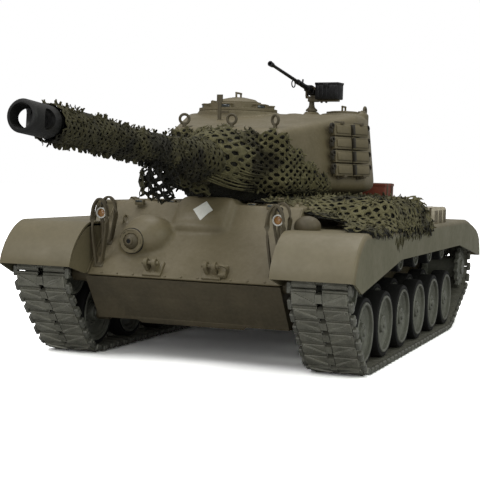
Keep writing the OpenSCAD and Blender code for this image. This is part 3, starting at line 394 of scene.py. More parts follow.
def make_dust():
    tree, given, out = effect("settled dust", [("Colour", "Color", (0.1, 0.1, 0.1, 1)),
                                               ("Dust colour", "Color", PALE_DUST), ("Amount", "Float", 0.3)],
                              [("Colour", "Color"), ("Dust", "Float")])
    up = node(tree, "SeparateXYZ", {0: node(tree, "NewGeometry").outputs["Normal"]}).outputs["Z"]
    lying = between(tree, up, 0.1, 0.95)
    patchy = between(tree, grain(tree, 75.0, 5.0, 0.7, 0.4), 0.35, 0.7)
    dust = maths(tree, "MULTIPLY", maths(tree, "MULTIPLY", lying, patchy), given["Amount"], clamp=True)
    tree.links.new(blended(tree, dust, given["Colour"], given["Dust colour"]), out["Colour"])
    tree.links.new(dust, out["Dust"])
    return tree


def make_cast_grain():
    tree, given, out = effect("cast grain", [("Size", "Float", 500.0), ("Pits", "Float", 0.4)], [("Height", "Float")])
    where = node(tree, "TexCoord").outputs["Object"]
    sand = node(tree, "TexNoise", {"Vector": where, "Scale": given["Size"], "Detail": 5.0, "Roughness": 0.6})
    pits_size = maths(tree, "MULTIPLY", given["Size"], 0.6)
    pits = node(tree, "TexVoronoi", {"Vector": where, "Scale": pits_size, "Randomness": 1.0}, feature="SMOOTH_F1")
    deep = maths(tree, "MULTIPLY", between(tree, pits.outputs["Distance"], 0.0, 0.35), given["Pits"])
    tree.links.new(maths(tree, "ADD", sand.outputs["Fac"], deep), out["Height"])
    return tree


MOTTLE, WEAR, DUST, CAST_GRAIN = make_mottle(), make_wear(), make_dust(), make_cast_grain()


def coat(name, colour, second, size=55.0, worn=None, wear=0.0, wear_radius=0.5, dust=0.2, dust_colour=None,
         roughness=(0.45, 0.62), metallic=0.0, shine=0.5, grain_size=700.0, pits=0.3, relief=0.12, depth=0.15):
    """A painted, moulded or metal finish: two mottled colours, rubbed edges, settled dust and surface grain."""
    finish = bpy.data.materials.new(name)
    finish.use_nodes = True
    tree = finish.node_tree
    skin = tree.nodes["Principled BSDF"]
    skin.inputs["Specular IOR Level"].default_value = shine
    mottle = node(tree, "Group", {"Colour": colour, "Second colour": second, "Size": size}, node_tree=MOTTLE)
    shown = mottle.outputs["Colour"]
    rough = between(tree, mottle.outputs["Patches"], 0.0, 1.0, roughness[0], roughness[1])
    if wear:
        edges = node(tree, "Group", {"Radius": wear_radius * MM, "Strength": wear}, node_tree=WEAR)
        shown = blended(tree, edges.outputs["Mask"], shown, worn)
    if dust:
        settled = node(tree, "Group", {"Colour": shown, "Dust colour": dust_colour or PALE_DUST, "Amount": dust},
                       node_tree=DUST)
        shown = settled.outputs["Colour"]
        rough = maths(tree, "ADD", rough, maths(tree, "MULTIPLY", settled.outputs["Dust"], 0.3), clamp=True)
    tree.links.new(shown, skin.inputs["Base Color"])
    tree.links.new(rough, skin.inputs["Roughness"])
    skin.inputs["Metallic"].default_value = metallic
    cast = node(tree, "Group", {"Size": grain_size, "Pits": pits}, node_tree=CAST_GRAIN)
    bump = node(tree, "Bump", {"Height": cast.outputs["Height"], "Strength": relief, "Distance": depth * MM})
    tree.links.new(bump.outputs["Normal"], skin.inputs["Normal"])
    return finish


OLIVE, OLIVE_2 = rgb(113, 103, 78), rgb(103, 94, 69)
OLIVE_DUST = rgb(128, 117, 90)
cast_olive = coat("cast olive armour", OLIVE, OLIVE_2, worn=rgb(134, 124, 98), wear=0.5, dust=0.12,
                  dust_colour=OLIVE_DUST, grain_size=900, pits=0.5, relief=0.3, depth=0.2)
sheet_olive = coat("olive sheet metal", rgb(116, 107, 82), rgb(107, 99, 75), size=35, worn=rgb(138, 129, 103), wear=0.5,
                   dust=0.1, dust_colour=OLIVE_DUST, roughness=(0.4, 0.55), grain_size=1200, pits=0.1, relief=0.08)
# the sheet paint made greener for the side skirts: painted cooler light on that side
skirt_olive_painted_cool_light = coat("side skirt olive in painted cool light", rgb(112, 108, 84), rgb(103, 100, 77), size=30, dust=0.08,
                   dust_colour=OLIVE_DUST, roughness=(0.45, 0.6), grain_size=1200, pits=0.1, relief=0.06)
# darker copy of the olive paint for the lower hull, suspension and small fittings: painted shade
olive_in_painted_shade = coat("shaded olive paint", rgb(88, 79, 58), rgb(74, 67, 49), worn=rgb(112, 102, 80), wear=0.5, dust=0.15,
                  dust_colour=rgb(104, 95, 72), roughness=(0.5, 0.7))
# dark strip colour: painted shadow in the skirts' seams, between the spare shoes and on the rack's hooks
painted_seam_shadow = coat("seam shadow", rgb(52, 47, 36), rgb(44, 40, 30), dust=0.0)
wheel_paint = coat("wheel paint", rgb(114, 115, 104), rgb(94, 95, 85), worn=rgb(164, 164, 153), wear=0.9,
                   wear_radius=0.7, dust=0.15, dust_colour=rgb(112, 108, 90), roughness=(0.38, 0.55), metallic=0.15)
tyre_rubber = coat("tyre rubber", rgb(21, 21, 20), rgb(27, 27, 26), size=90, worn=rgb(46, 45, 43), wear=0.3, dust=0.06,
                   dust_colour=rgb(60, 58, 50), roughness=(0.6, 0.8), shine=0.3, grain_size=1400, relief=0.2)
track_metal = coat("track steel", rgb(138, 137, 124), rgb(106, 105, 94), size=130, worn=rgb(196, 195, 184), wear=1.0,
                   wear_radius=0.45, dust=0.2, dust_colour=rgb(110, 103, 84), roughness=(0.4, 0.62), metallic=0.35,
                   grain_size=1100, pits=0.6, relief=0.35, depth=0.2)
connector_metal = coat("connector steel", rgb(124, 124, 114), rgb(94, 94, 86), size=150, worn=rgb(190, 189, 180),
                       wear=1.0, wear_radius=0.5, dust=0.15, roughness=(0.3, 0.5), metallic=0.4, relief=0.25)
black_metal = coat("black gun metal", rgb(34, 34, 35), rgb(26, 26, 27), size=120, worn=rgb(92, 92, 93), wear=0.8,
                   wear_radius=0.3, dust=0.06, roughness=(0.32, 0.48), metallic=0.55, relief=0.1)
brake_black = coat("brake black", rgb(33, 33, 32), rgb(26, 26, 25), size=80, worn=rgb(70, 69, 66), wear=0.5,
                   dust=0.08, roughness=(0.42, 0.6), metallic=0.3, relief=0.15)
# near-black for holes and hollows: painted shade under the deck's slots, in the bore, the jacket's holes and the bow
# ring's grooves
painted_shade_black = coat("painted shade black", rgb(15, 15, 14), rgb(20, 19, 18), dust=0.0, roughness=(0.7, 0.9))
white_paint = coat("white marking", rgb(226, 226, 218), rgb(212, 211, 203), size=200, dust=0.05, roughness=(0.5, 0.65))
amber_glass = coat("amber lens", rgb(178, 132, 74), rgb(136, 88, 42), size=300, dust=0.0, roughness=(0.08, 0.16),
                   shine=0.8, relief=0.25, grain_size=1800)
clear_block = coat("periscope glass", rgb(38, 44, 44), rgb(54, 62, 60), size=200, dust=0.05, roughness=(0.08, 0.2),
                   shine=0.8)
brown_crate = coat("red-brown crate", rgb(128, 62, 42), rgb(108, 50, 34), size=140, worn=rgb(160, 110, 84), wear=0.6,
                   dust=0.2, roughness=(0.55, 0.75))
pale_can = coat("pale cans", rgb(196, 188, 168), rgb(176, 166, 144), size=150, worn=rgb(110, 96, 72), wear=0.6,
                dust=0.2, roughness=(0.5, 0.7))
can_strap = coat("can straps", rgb(88, 78, 56), rgb(72, 62, 44), size=150, dust=0.15)
gear_metal = coat("geared motor steel", rgb(128, 128, 124), rgb(112, 112, 108), metallic=0.7, roughness=(0.3, 0.5))
board_green = coat("battery wrap and board", rgb(46, 92, 62), rgb(38, 78, 54), size=160, dust=0.0)
brass = coat("cartridge brass", rgb(150, 122, 62), rgb(126, 100, 48), size=200, metallic=0.8, roughness=(0.3, 0.45),
             dust=0.05)


def cloth(name, pale, deep, third):
    """Cut scrim: patches of three greens with a woven surface."""
    finish = bpy.data.materials.new(name)
    finish.use_nodes = True
    tree = finish.node_tree
    skin = tree.nodes["Principled BSDF"]
    skin.inputs["Specular IOR Level"].default_value = 0.15
    skin.inputs["Sheen Weight"].default_value = 0.06
    skin.inputs["Sheen Roughness"].default_value = 0.5
    mottle = node(tree, "Group", {"Colour": pale, "Second colour": deep, "Size": 45.0}, node_tree=MOTTLE)
    patches = between(tree, grain(tree, 28.0, 3.0, 0.6, 0.5), 0.5, 0.6)
    shown = blended(tree, patches, mottle.outputs["Colour"], third)
    where = node(tree, "TexCoord").outputs["Object"]
    weave = node(tree, "TexWave", {"Vector": where, "Scale": 420.0, "Distortion": 6.0, "Detail": 2.0,
                                   "Detail Scale": 1.5}, wave_type="BANDS", bands_direction="DIAGONAL")
    threads = between(tree, weave.outputs["Fac"], 0.0, 1.0, 0.72, 1.1)
    shown = blended(tree, 1.0, shown, node(tree, "CombineColor", {0: threads, 1: threads, 2: threads}).outputs[0],
                    "MULTIPLY")
    tree.links.new(shown, skin.inputs["Base Color"])
    tree.links.new(between(tree, weave.outputs["Fac"], 0.0, 1.0, 0.75, 0.95), skin.inputs["Roughness"])
    bump = node(tree, "Bump", {"Height": weave.outputs["Fac"], "Strength": 0.5, "Distance": 0.25 * MM})
    tree.links.new(bump.outputs["Normal"], skin.inputs["Normal"])
    return finish


scrim_top = cloth("upper scrim cloth", rgb(112, 107, 76), rgb(86, 82, 56), rgb(50, 47, 32))
scrim_barrel = cloth("barrel scrim cloth", rgb(84, 80, 54), rgb(62, 59, 39), rgb(38, 36, 24))
# near-black copy of the scrim: painted shade under the lit layers and in the hollow under the gun
scrim_painted_shade = cloth("scrim cloth in painted shade", rgb(34, 33, 22), rgb(25, 24, 16), rgb(19, 18, 13))

# ---------------- tracks

WHEELS = 6
ROLLERS = 5
LINKS = 82
LINK_T = 2.6
GROUSER_H = 1.9
TRACK_HALF = 19.0
PIN_R = 1.15
BELT_PLAY = 1.5
WHEEL_R, IDLER_R, ROLLER_R, SPROCKET_R = 20.6, 15.8, 8.4, 16.2


def belt(side):
    """The circles that a track is stretched round: [y, z, radius] from the first wheel round to the idler."""
    order = [(f"road_wheel_{side}_1", WHEEL_R), (f"road_wheel_{side}_{WHEELS}", WHEEL_R),
             (f"sprocket_{side}", SPROCKET_R), (f"roller_{side}_{ROLLERS}", ROLLER_R), (f"roller_{side}_1", ROLLER_R),
             (f"idler_{side}", IDLER_R)]
    return [(pivot(n + "_spin").y, pivot(n + "_spin").z, r + BELT_PLAY) for n, r in order]


def track_places(side):
    """Where each shoe of a track lies: its point and its turn about X."""
    circles = belt(side)
    count = len(circles)
    normals, runs = [], []
    for (y0, z0, r0), (y1, z1, r1) in zip(circles, circles[1:] + circles[:1]):
        reach = math.hypot(y1 - y0, z1 - z0)
        normals.append(math.atan2(z1 - z0, y1 - y0) - math.acos((r0 - r1) / reach))
        runs.append(math.sqrt(reach ** 2 - (r0 - r1) ** 2))
    arcs = [(normals[i] - normals[i - 1]) % math.tau for i in range(count)]
    length = sum(arc * circle[2] for arc, circle in zip(arcs, circles)) + sum(runs)
    places = []
    for k in range(LINKS):
        s = k * length / LINKS
        for i, (y, z, r) in enumerate(circles):
            if s < arcs[i] * r:
                n = normals[i - 1] + s / r
                places.append((y + r * math.cos(n), z + r * math.sin(n), n + math.pi / 2))
                break
            s -= arcs[i] * r
            if s < runs[i]:
                n = normals[i]
                places.append((y + r * math.cos(n) - s * math.sin(n), z + r * math.sin(n) + s * math.cos(n),
                               n + math.pi / 2))
                break
            s -= runs[i]
    return places, length / LINKS


def track_shoe(pitch):
    """One shoe: two plates on pin tubes, a rubbed pad on each with a slanting bar, and the tie with its guide tooth."""
    shoe = bmesh.new()
    half, outer, inner = pitch / 2, TRACK_HALF - 2.6, 1.8
    pad_z = -LINK_T / 2 - GROUSER_H + 0.7
    plate = as_stamp(block((inner, 0.3 - half, -1.0), (outer, half - 0.3, 1.0)))
    pad = as_stamp(block((inner + 0.2, 1.2 - half, pad_z), (outer - 0.3, half - 1.2, -0.8), 0.35, 1))
    tube = as_stamp(rod(PIN_R, outer - inner, sides=8))
    bar = as_stamp(swept([(inner + 0.8, half - 2.0, pad_z), (outer - 1.8, 2.4 - half, pad_z)],
                         [(-0.6, -0.75), (0.6, -0.75), (0.85, 0.4), (-0.85, 0.4)]))
    for mirrored in (Matrix(), MIRROR_X):
        for part in (plate, pad, bar):
            set_down(shoe, part, mirrored)
        for end in (-1, 1):
            set_down(shoe, tube, mirrored @ move(inner, end * (half - PIN_R - 0.15), 0) @ ALONG_X)
    add(shoe, block((-inner, 2.2 - half, pad_z - 0.3), (inner, half - 2.2, 1.0)))
    tooth = bmesh.new()
    bmesh.ops.create_cone(tooth, cap_ends=True, segments=4, radius1=2.9, radius2=1.6, depth=4.6)
    add(shoe, tooth, move(z=LINK_T / 2 + 2.0) @ Matrix.Diagonal((1, 0.72, 1, 1)) @ turn(45, "Z"))
    return shoe


def end_connector(pitch):
    """Rounded block over the ends of two shoes' pins, with its wedge bolt; it lies across their joint."""
    tie = bmesh.new()
    reach = pitch * 0.34
    add(tie, block((-0.3, -reach, -LINK_T / 2 - 1.2), (2.4, reach, LINK_T / 2), 0.6, 1, finish=1))
    add(tie, finish_of(rod(0.8, 0.5, sides=6), 1), move(2.2, 0, -0.2) @ ALONG_X)
    return tie


def build_track(side):
    places, pitch = track_places(side)
    centre_x = pivot(f"road_wheel_{side}_1_spin").x
    shoe, tie = as_stamp(track_shoe(pitch)), as_stamp(end_connector(pitch))
    part = bmesh.new()
    for (y, z, angle), (next_y, next_z, next_angle) in zip(places, places[1:] + places[:1]):
        set_down(part, shoe, move(centre_x, y, z) @ Matrix.Rotation(angle, 4, "X"))
        bend = (next_angle - angle + math.pi) % math.tau - math.pi
        joint = move(centre_x, (y + next_y) / 2, (z + next_z) / 2) @ Matrix.Rotation(angle + bend / 2, 4, "X")
        for end in (LEFT, RIGHT):
            set_down(part, tie, joint @ Matrix.Scale(end, 4, (1, 0, 0)) @ move(TRACK_HALF - 2.4, 0, 0))
    piece(f"track_{side}_shoes", part, "hull", [track_metal, connector_metal], [f"track_{side}"],
          crease=30)


for side in SIDES:
    build_track(side)

# ---------------- wheels

WHEEL_W, IDLER_W, ROLLER_W = 29.8, 27.0, 27.0
WHEEL_RIM, IDLER_RIM = WHEEL_R - 2.9, IDLER_R - 2
WHEEL_BOLTS, IDLER_BOLTS, SPROCKET_BOLTS = 10, 8, 10


def tyre(radius, rim, inner, outer):
    """A solid tyre between two planes, its shoulders rounded."""
    return turned([(rim, inner), (radius - 1.2, inner), (radius - 0.35, inner + 0.3), (radius, inner + 1.2),
                   (radius, outer - 1.3), (radius - 0.35, outer - 0.4), (radius - 1.3, outer), (rim + 0.6, outer),
                   (rim, outer - 0.6)], steps=48, finish=1)


def dished_disc(rim, hub, half, edge):
    """One dished disc with its rim lip, from the hub out; its outer face looks along +Z at height half."""
    return turned([(2.2, 3.2), (2.2, half - 1.6), (hub - 1.2, half - 1.2), (hub - 0.3, half - 1.6), (hub, half - 2.4),
                   (hub + 0.2, half - 4.4), (hub + 1.6, half - 5.0), (rim - 4.6, half - 3.8), (rim - 3.4, half - 2.6),
                   (rim - 1.9, half - 2.3), (rim - 1.7, half - 0.5), (rim - 1.2, half - 0.1), (rim - 0.4, half - 0.1),
                   (rim, half - 0.5), (rim, edge), (rim - 1.8, edge), (rim - 1.9, half - 5.2), (rim - 5, half - 6.6),
                   (hub + 1.0, half - 7.8), (hub - 0.6, 3.2)], steps=48)


def wheel_stamp(radius, rim, hub, width, bolts):
    part = bmesh.new()
    half = width / 2
    for face in (1, -1):
        flip = Matrix.Scale(face, 4, (0, 0, 1))
        add(part, dished_disc(rim, hub, half, 3.7), flip)
        add(part, tyre(radius, rim, 3.7, half - 0.5), flip)
        bolt = as_stamp(hex_bolt(0.75, 0.8))
        for k in range(bolts):
            set_down(part, bolt, flip @ turn(k * 360 / bolts, "Z") @ move(hub + 2.2, 0, half - 5.0))
        add(part, rod(hub * 0.5, 1.3, tip=hub * 0.4, sides=20, rounding=0.25), flip @ move(z=half - 1.7))
        for k in range(5):
            add(part, hex_bolt(0.5, 0.5), flip @ turn(k * 72, "Z") @ move(hub * 0.72, 0, half - 1.5))
    add(part, turned([(2.2, -3.4), (2.2, 3.4), (hub - 0.6, 3.4), (hub - 0.6, -3.4)], steps=24))
    return as_stamp(part)


road_wheel = wheel_stamp(WHEEL_R, WHEEL_RIM, 5.5, WHEEL_W, WHEEL_BOLTS)
idler_wheel = wheel_stamp(IDLER_R, IDLER_RIM, 4.6, IDLER_W, IDLER_BOLTS)
return_roller = bmesh.new()
for face in (1, -1):
    flip = Matrix.Scale(face, 4, (0, 0, 1))
    half = ROLLER_W / 2
    add(return_roller, turned([(1.6, 3.5), (1.6, half - 1.4), (2.6, half - 1.2), (3.0, half - 2.8), (5.6, half - 2.6),
                               (6.0, half - 1.2), (6.8, half - 1.0), (7.0, half - 1.6), (7.0, 3.5)], steps=32), flip)
    add(return_roller, turned([(7.0, 3.5), (8.0, 3.5), (ROLLER_R, 4.1), (ROLLER_R, half - 2.2), (8.0, half - 1.6),
                               (7.0, half - 1.6)], steps=32, finish=1), flip)
add(return_roller, turned([(1.6, -3.6), (1.6, 3.6), (2.8, 3.6), (2.8, -3.6)], steps=20))
return_roller = as_stamp(return_roller)

for side in SIDES:
    wheels = [(f"road_wheel_{side}_{k}", road_wheel) for k in range(1, WHEELS + 1)]
    wheels += [(f"roller_{side}_{k}", return_roller) for k in range(1, ROLLERS + 1)]
    wheels += [(f"idler_{side}", idler_wheel)]
    for name, stamp in wheels:
        part = bmesh.new()
        # each wheel stands at its own angle, so that their bolts don't line up
        own_turn = turn(17 * len(name) + 31 * ord(name[-1]), "X")
        set_down(part, stamp, move(*pivot(name + "_spin")) @ own_turn @ ALONG_X)
        piece(name + "_built", part, name, [wheel_paint, tyre_rubber], [name], crease=28)
    name = f"sprocket_{side}"
    part = merged(name)
    centre = move(*pivot(name + "_spin"))
    for face in (1, -1):
        for k in range(SPROCKET_BOLTS):
            add(part, hex_bolt(0.8, 0.8), centre @ turn(k * 360 / SPROCKET_BOLTS, "X") @ move(face * 14.4, 0, 10.5)
                @ turn(face * 90, "Y"))
    piece(name + "_built", part, name, [wheel_paint], [name], crease=28, bevel=0.25)

# ---------------- hull

HULL_HALF = 62.0
ROOF_Z = 97.0
NOSE_Y, NOSE_Z = -152.0, 52.5
GLACIS_TOP_Y = -113.0
FENDER_HALF = span("fender_left")[1].x
FENDER_Z = 83.2
TAIL_Y = 198.3
CAST_REAR_Y = -84.0
glacis_slope = (GLACIS_TOP_Y - NOSE_Y) / (ROOF_Z - NOSE_Z)
glacis_angle = math.degrees(math.atan2(ROOF_Z - NOSE_Z, GLACIS_TOP_Y - NOSE_Y))


def glacis_y(z):
    return NOSE_Y + (z - NOSE_Z) * glacis_slope


def on_glacis(x, z, out=0.0):
    """A frame lying on the glacis: X across, Y up along it, Z outward."""
    return move(x, glacis_y(z), z) @ turn(glacis_angle, "X") @ move(z=out)


bow_at = pivot("bow_mg_swivel")


def cut_at(bm, y, keep_front):
    """Keeps what lies in front of a plane across the hull, or behind it, and closes the cut."""
    cut = bmesh.ops.bisect_plane(bm, geom=bm.verts[:] + bm.edges[:] + bm.faces[:], plane_co=(0, y, 0),
                                 plane_no=(0, 1, 0), clear_outer=keep_front, clear_inner=not keep_front)["geom_cut"]
    edges = [e for e in cut if isinstance(e, bmesh.types.BMEdge)]
    bmesh.ops.triangle_fill(bm, edges=edges, use_beauty=True)
    return bm


def hull_casting():
    """The cast front of the hull, with the ventilator hump and the bow gun's blister blended into the glacis."""
    bm = cut_at(merged("upper_hull"), CAST_REAR_Y, True)
    # the blister with the soft swelling behind it, the ventilator hump and the drivers' hatch seats
    add(bm, ball(10.5, (1.15, 1.6, 1.0)), move(bow_at.x, bow_at.y + 16, bow_at.z - 1))
    add(bm, ball(11.0, (1.5, 1.3, 1.3)), move(bow_at.x + 4.5, bow_at.y + 13.5, bow_at.z + 1.5))
    add(bm, block((-18, -11, -7), (18, 15.5, 3.4), 3.2, 3), on_glacis(0.5, 88.5))
    for s in (LEFT, RIGHT):
        add(bm, ball(6.0, (1.7, 1.7, 0.55)), move(s * 43.5, GLACIS_TOP_Y + 8, ROOF_Z - 1.5))

    def sharp(p):
        near_bore = (p - bow_at).length < 8.0
        return p.y > CAST_REAR_Y - 1.6 or near_bore or p.z < 66.8 and p.y > -130

    return cast_skin(bm, 0.95, 9, sharp)


def hull_front():
    part = hull_casting()
    # periscopes in front of the drivers' hatches and between them
    for x, y in ((-43.5, -117.2), (43.5, -117.2), (-27, -106), (27, -106)):
        add(part, block((-3.0, -1.7, -1.5), (3.0, 1.7, 1.9), 0.5), move(x, y, ROOF_Z - 0.6))
        add(part, block((-2.2, -0.4, 0.3), (2.2, 0.4, 1.5), 0.15, finish=1), move(x, y - 1.6, ROOF_Z - 0.6))
    # weld beads down both edges of the casting and across its rear
    for s in (LEFT, RIGHT):
        path = [(s * (HULL_HALF - 0.3), glacis_y(z), z) for z in range(54, 97, 3)]
        add(part, swept(path, round_section(0.45, 6)))
    path = [(x, CAST_REAR_Y, ROOF_Z - 0.1) for x in range(-61, 62, 3)]
    add(part, swept(path, round_section(0.5, 6)))
    # bolts where the casting meets the lower plate
    for k in range(-5, 6):
        add(part, hex_bolt(0.7, 0.5), move(k * 10.4, glacis_y(NOSE_Z + 2.2) - 0.2, NOSE_Z + 2.2)
            @ turn(glacis_angle, "X"))
    return part


hull_front_part = hull_front()
casting_skin = BVHTree.FromBMesh(hull_front_part)
piece("hull_front", hull_front_part, "hull", [cast_olive, clear_block], crease=50)


def hull_rear():
    part = cut_at(merged("upper_hull"), CAST_REAR_Y, False)
    # grab rails and filler caps beside the engine deck, rivets down the hull's sides
    rail = ((-7, -0.5), (-7, 2.6), (-6, 3.2), (6, 3.2), (7, 2.6), (7, -0.5))
    for s in (LEFT, RIGHT):
        for y in (112, 150):
            add(part, swept([(s * 56, y + a, ROOF_Z + b) for a, b in rail], round_section(0.55, 8)))
        add(part, rod(4.2, 1.6, tip=3.6, sides=28, rounding=0.3), move(s * 55.5, 72, ROOF_Z))
        add(part, rod(1.0, 2.2, sides=6), move(s * 55.5, 72, ROOF_Z + 0.5))
        for z in (70, 78, 86):
            for y in range(-60, 190, 25):
                add(part, rivet(0.55), move(s * HULL_HALF, y, z) @ turn(90 * s, "Y"))
    return part


piece("hull_rear", hull_rear(), "hull", [cast_olive], ["upper_hull"], bevel=0.3)


def lower_hull():
    part = merged("lower_hull")
    low_z, belly_y = 25.5, -133.0
    # raised centre panel of the lower front plate, the lip at its foot and its bolts
    tilt = math.degrees(math.atan2(NOSE_Z - low_z, NOSE_Y - belly_y))
    centre = Vector((0, (NOSE_Y + belly_y) / 2, (NOSE_Z + low_z) / 2))
    length = math.hypot(NOSE_Y - belly_y, NOSE_Z - low_z)
    face = move(*centre) @ turn(tilt - 180, "X")
    panel = [(-34, -length / 2 + 2.5), (34, -length / 2 + 2.5), (44, length / 2 - 2.5), (-44, length / 2 - 2.5)]
    add(part, plate_of(panel, 1.2, 0.3), face @ move(z=-0.1))
    lip = [(-38, 0), (38, 0), (33, 4.2), (-33, 4.2)]
    lip_place = move(0, belly_y - 1.3, low_z + 1.5) @ turn(-90 + tilt - 180, "X") @ turn(90, "X")
    add(part, plate_of(lip, 1.6, 0.4), lip_place)
    for x in range(-50, 51, 20):
        add(part, hex_bolt(0.7, 0.6), face @ move(x, -length / 2 + 1.2, 0))
        add(part, hex_bolt(0.7, 0.6), face @ move(x, length / 2 - 1.2, 0))
    return part


piece("lower_hull_built", lower_hull(), "hull", [olive_in_painted_shade], ["lower_hull"], bevel=0.4)
piece("suspension_built", merged("suspension_arms"), "hull", [olive_in_painted_shade], ["suspension_arms"],
      bevel=0.3)

# ---------------- fenders

FRONT_Y = span("fender_left")[0].y
REAR_Y = span("fender_left")[1].y
MUDGUARD = 24.7
SKIRT_Z = 65.6
SHEET_T = 1.3
SEAMS = (-61.7, 32.4, 129.3)
# the mudguard's curve is a squared quarter circle of this power
MUDGUARD_POWER = 2 / 1.55
# how far the fender's rear has dropped at distances before its end
REAR_DROP = [(64.3, 0), (55, 1.3), (46.3, 3.2), (36, 4.9), (27.3, 6.9), (19, 8.8), (12.3, 11.6), (7, 15.4),
             (3.3, 20.6), (1.2, 25.2), (0, 30.4)]


def fender(s):
    """Folded sheet: a flat top that curves down into both mudguards, and a side skirt with a rounded fold."""
    centre_y, centre_z = FRONT_Y + MUDGUARD, FENDER_Z - MUDGUARD

    def on_mudguard(a):
        forward, up = math.cos(a) ** MUDGUARD_POWER, math.sin(a) ** MUDGUARD_POWER
        return centre_y - MUDGUARD * forward, centre_z + MUDGUARD * up

    top = [on_mudguard(math.pi / 2 * i / 18) for i in range(19)]
    top += [(REAR_Y - back, FENDER_Z - down) for back, down in REAR_DROP]
    under = [(REAR_Y - 94, SKIRT_Z), (FRONT_Y + 107.4, SKIRT_Z), (FRONT_Y + 15.2, SKIRT_Z - 13.8)]
    bm = bmesh.new()
    x1 = FENDER_HALF
    side_verts = face_of(bm, [(x1, y, z) for y, z in top + under])
    fold = [e for e in bm.edges if all(v in side_verts[:len(top)] for v in e.verts)]
    fold = [e for e in fold if abs(side_verts.index(e.verts[0]) - side_verts.index(e.verts[1])) == 1]
    lift_new(bm, bmesh.ops.extrude_edge_only(bm, edges=fold)["geom"], (HULL_HALF + 0.1 - x1, 0, 0))
    rounded(bm, fold, 1.7, 4)
    bmesh.ops.recalc_face_normals(bm, faces=bm.faces[:])
    # the wall grows inwards, away from the skirt's outer face
    skirt = max((f for f in bm.faces if abs(f.normal.x) > 0.9), key=lambda f: f.calc_area())
    grow = -SHEET_T if skirt.normal.x * (skirt.calc_center_median().x - 80) > 0 else SHEET_T
    # the skirt's face takes the greener paint: painted cool light on the side
    skirt.material_index = 2
    bmesh.ops.triangulate(bm, faces=[skirt])
    bmesh.ops.solidify(bm, geom=bm.faces[:], thickness=grow)
    part = bmesh.new()
    add(part, bm)
    # pressed ribs across the mudguard
    for a in (17, 74):
        y, z = on_mudguard(math.radians(a))
        add(part, swept([(HULL_HALF + 9, y + 0.4, z - 0.3), (HULL_HALF + 10, y, z), (x1 - 6, y, z),
                         (x1 - 5, y + 0.4, z - 0.3)], round_section(0.55, 8)))
    # screws along the mudguard's edges, on the top and down the skirt's curved front
    dot = as_stamp(rivet(0.55))
    for i in range(2, 17, 2):
        y, z = top[i]
        inward = Vector((0, centre_y - y, centre_z - z)).normalized() * 3.0
        set_down(part, dot, move(x1 + 0.05, y + inward.y, z + inward.z) @ ALONG_X)
    for k in range(6):
        set_down(part, dot, move(x1 - 4, FRONT_Y + 33 + k * 5.5, FENDER_Z + 0.05))
        set_down(part, dot, move(x1 + 0.05, 150 + k * 9, SKIRT_Z + 9 - 0.02 * k * k) @ ALONG_X)
    # a dark strip at each seam is painted shadow in its groove, with screws on both sides
    for y in SEAMS:
        add(part, block((x1 - 0.1, y - 0.25, SKIRT_Z + 0.1), (x1 + 0.16, y + 0.25, FENDER_Z - 1.6), finish=1))
        for z in (SKIRT_Z + 2.4, SKIRT_Z + 8, FENDER_Z - 4):
            for off in (-1.7, 1.7):
                set_down(part, dot, move(x1 + 0.05, y + off, z) @ ALONG_X)
    # liner between the mudguard and the hull's side
    liner = [(p[0], p[1] - 1.2) for p in top[1:18]]
    liner += [(GLACIS_TOP_Y + 12, FENDER_Z - 1.2), (GLACIS_TOP_Y + 12, 66), (NOSE_Y + 24, 66),
              (NOSE_Y + 24, NOSE_Z + 1), (NOSE_Y, NOSE_Z + 1)]
    add(part, plate_of([(z, y) for y, z in liner], SHEET_T), move(HULL_HALF + 0.1, 0, 0)
        @ Matrix(((0, 0, 1, 0), (0, 1, 0, 0), (1, 0, 0, 0), (0, 0, 0, 1))))
    if s == RIGHT:
        bmesh.ops.transform(part, matrix=MIRROR_X, verts=part.verts)
    return part


for side, s in SIDES.items():
    piece(f"fender_{side}_sheet", fender(s), "hull", [sheet_olive, painted_seam_shadow, skirt_olive_painted_cool_light],
          [f"fender_{side}"], crease=18)


def stowage():
    """Boxes on the fenders with latches, straps over their lids and hinges."""
    part = merged("stowage_boxes")
    for s, y0, y1 in ((RIGHT, -60.7, 32.3), (RIGHT, 103.3, 145.3), (LEFT, -60.7, 32.3)):
        x = s * 85.75
        half = 17.7
        for y in (y0 + 9, y1 - 9):
            add(part, block((-0.8, -2.2, -4.5), (0.8, 2.2, 1.2), 0.3), move(x + s * half, y, FENDER_Z + 10.2))
            add(part, block((-half, -1.2, -0.1), (half, 1.2, 0.5), 0.2), move(x, y, FENDER_Z + 12))
            add(part, rod(0.9, 5, sides=12), move(x - s * half, y - 2.5, FENDER_Z + 11.6) @ turn(-90, "X"))
    return part


piece("stowage_boxes_built", stowage(), "hull", [sheet_olive], ["stowage_boxes"], bevel=0.35)

# ---------------- hull fittings


def deck():
    """Engine deck with a dark floor of painted shade under its slots, hinges and lift handles."""
    part = merged("engine_deck")
    z = ROOF_Z + 2.2
    handle = ((-5, -0.3), (-5, 1.6), (-4.4, 2.1), (4.4, 2.1), (5, 1.6), (5, -0.3))
    for s in (LEFT, RIGHT):
        for y in (100, 118, 154, 172):
            add(part, block((-2.4, -1.4, 0), (2.4, 1.4, 1.0), 0.3), move(s * 45.5, y, z))
        for y in (114.5, 157.5):
            add(part, swept([(s * 25 + a, y, z + b) for a, b in handle], round_section(0.45, 8)))
    # near-black floor under the slots: painted shade
    add(part, block((-45, 97, ROOF_Z - 1.4), (45, 175, ROOF_Z - 1.0), finish=1))
    return part


piece("engine_deck_built", deck(), "hull", [sheet_olive, painted_shade_black], ["engine_deck"], bevel=0.25)


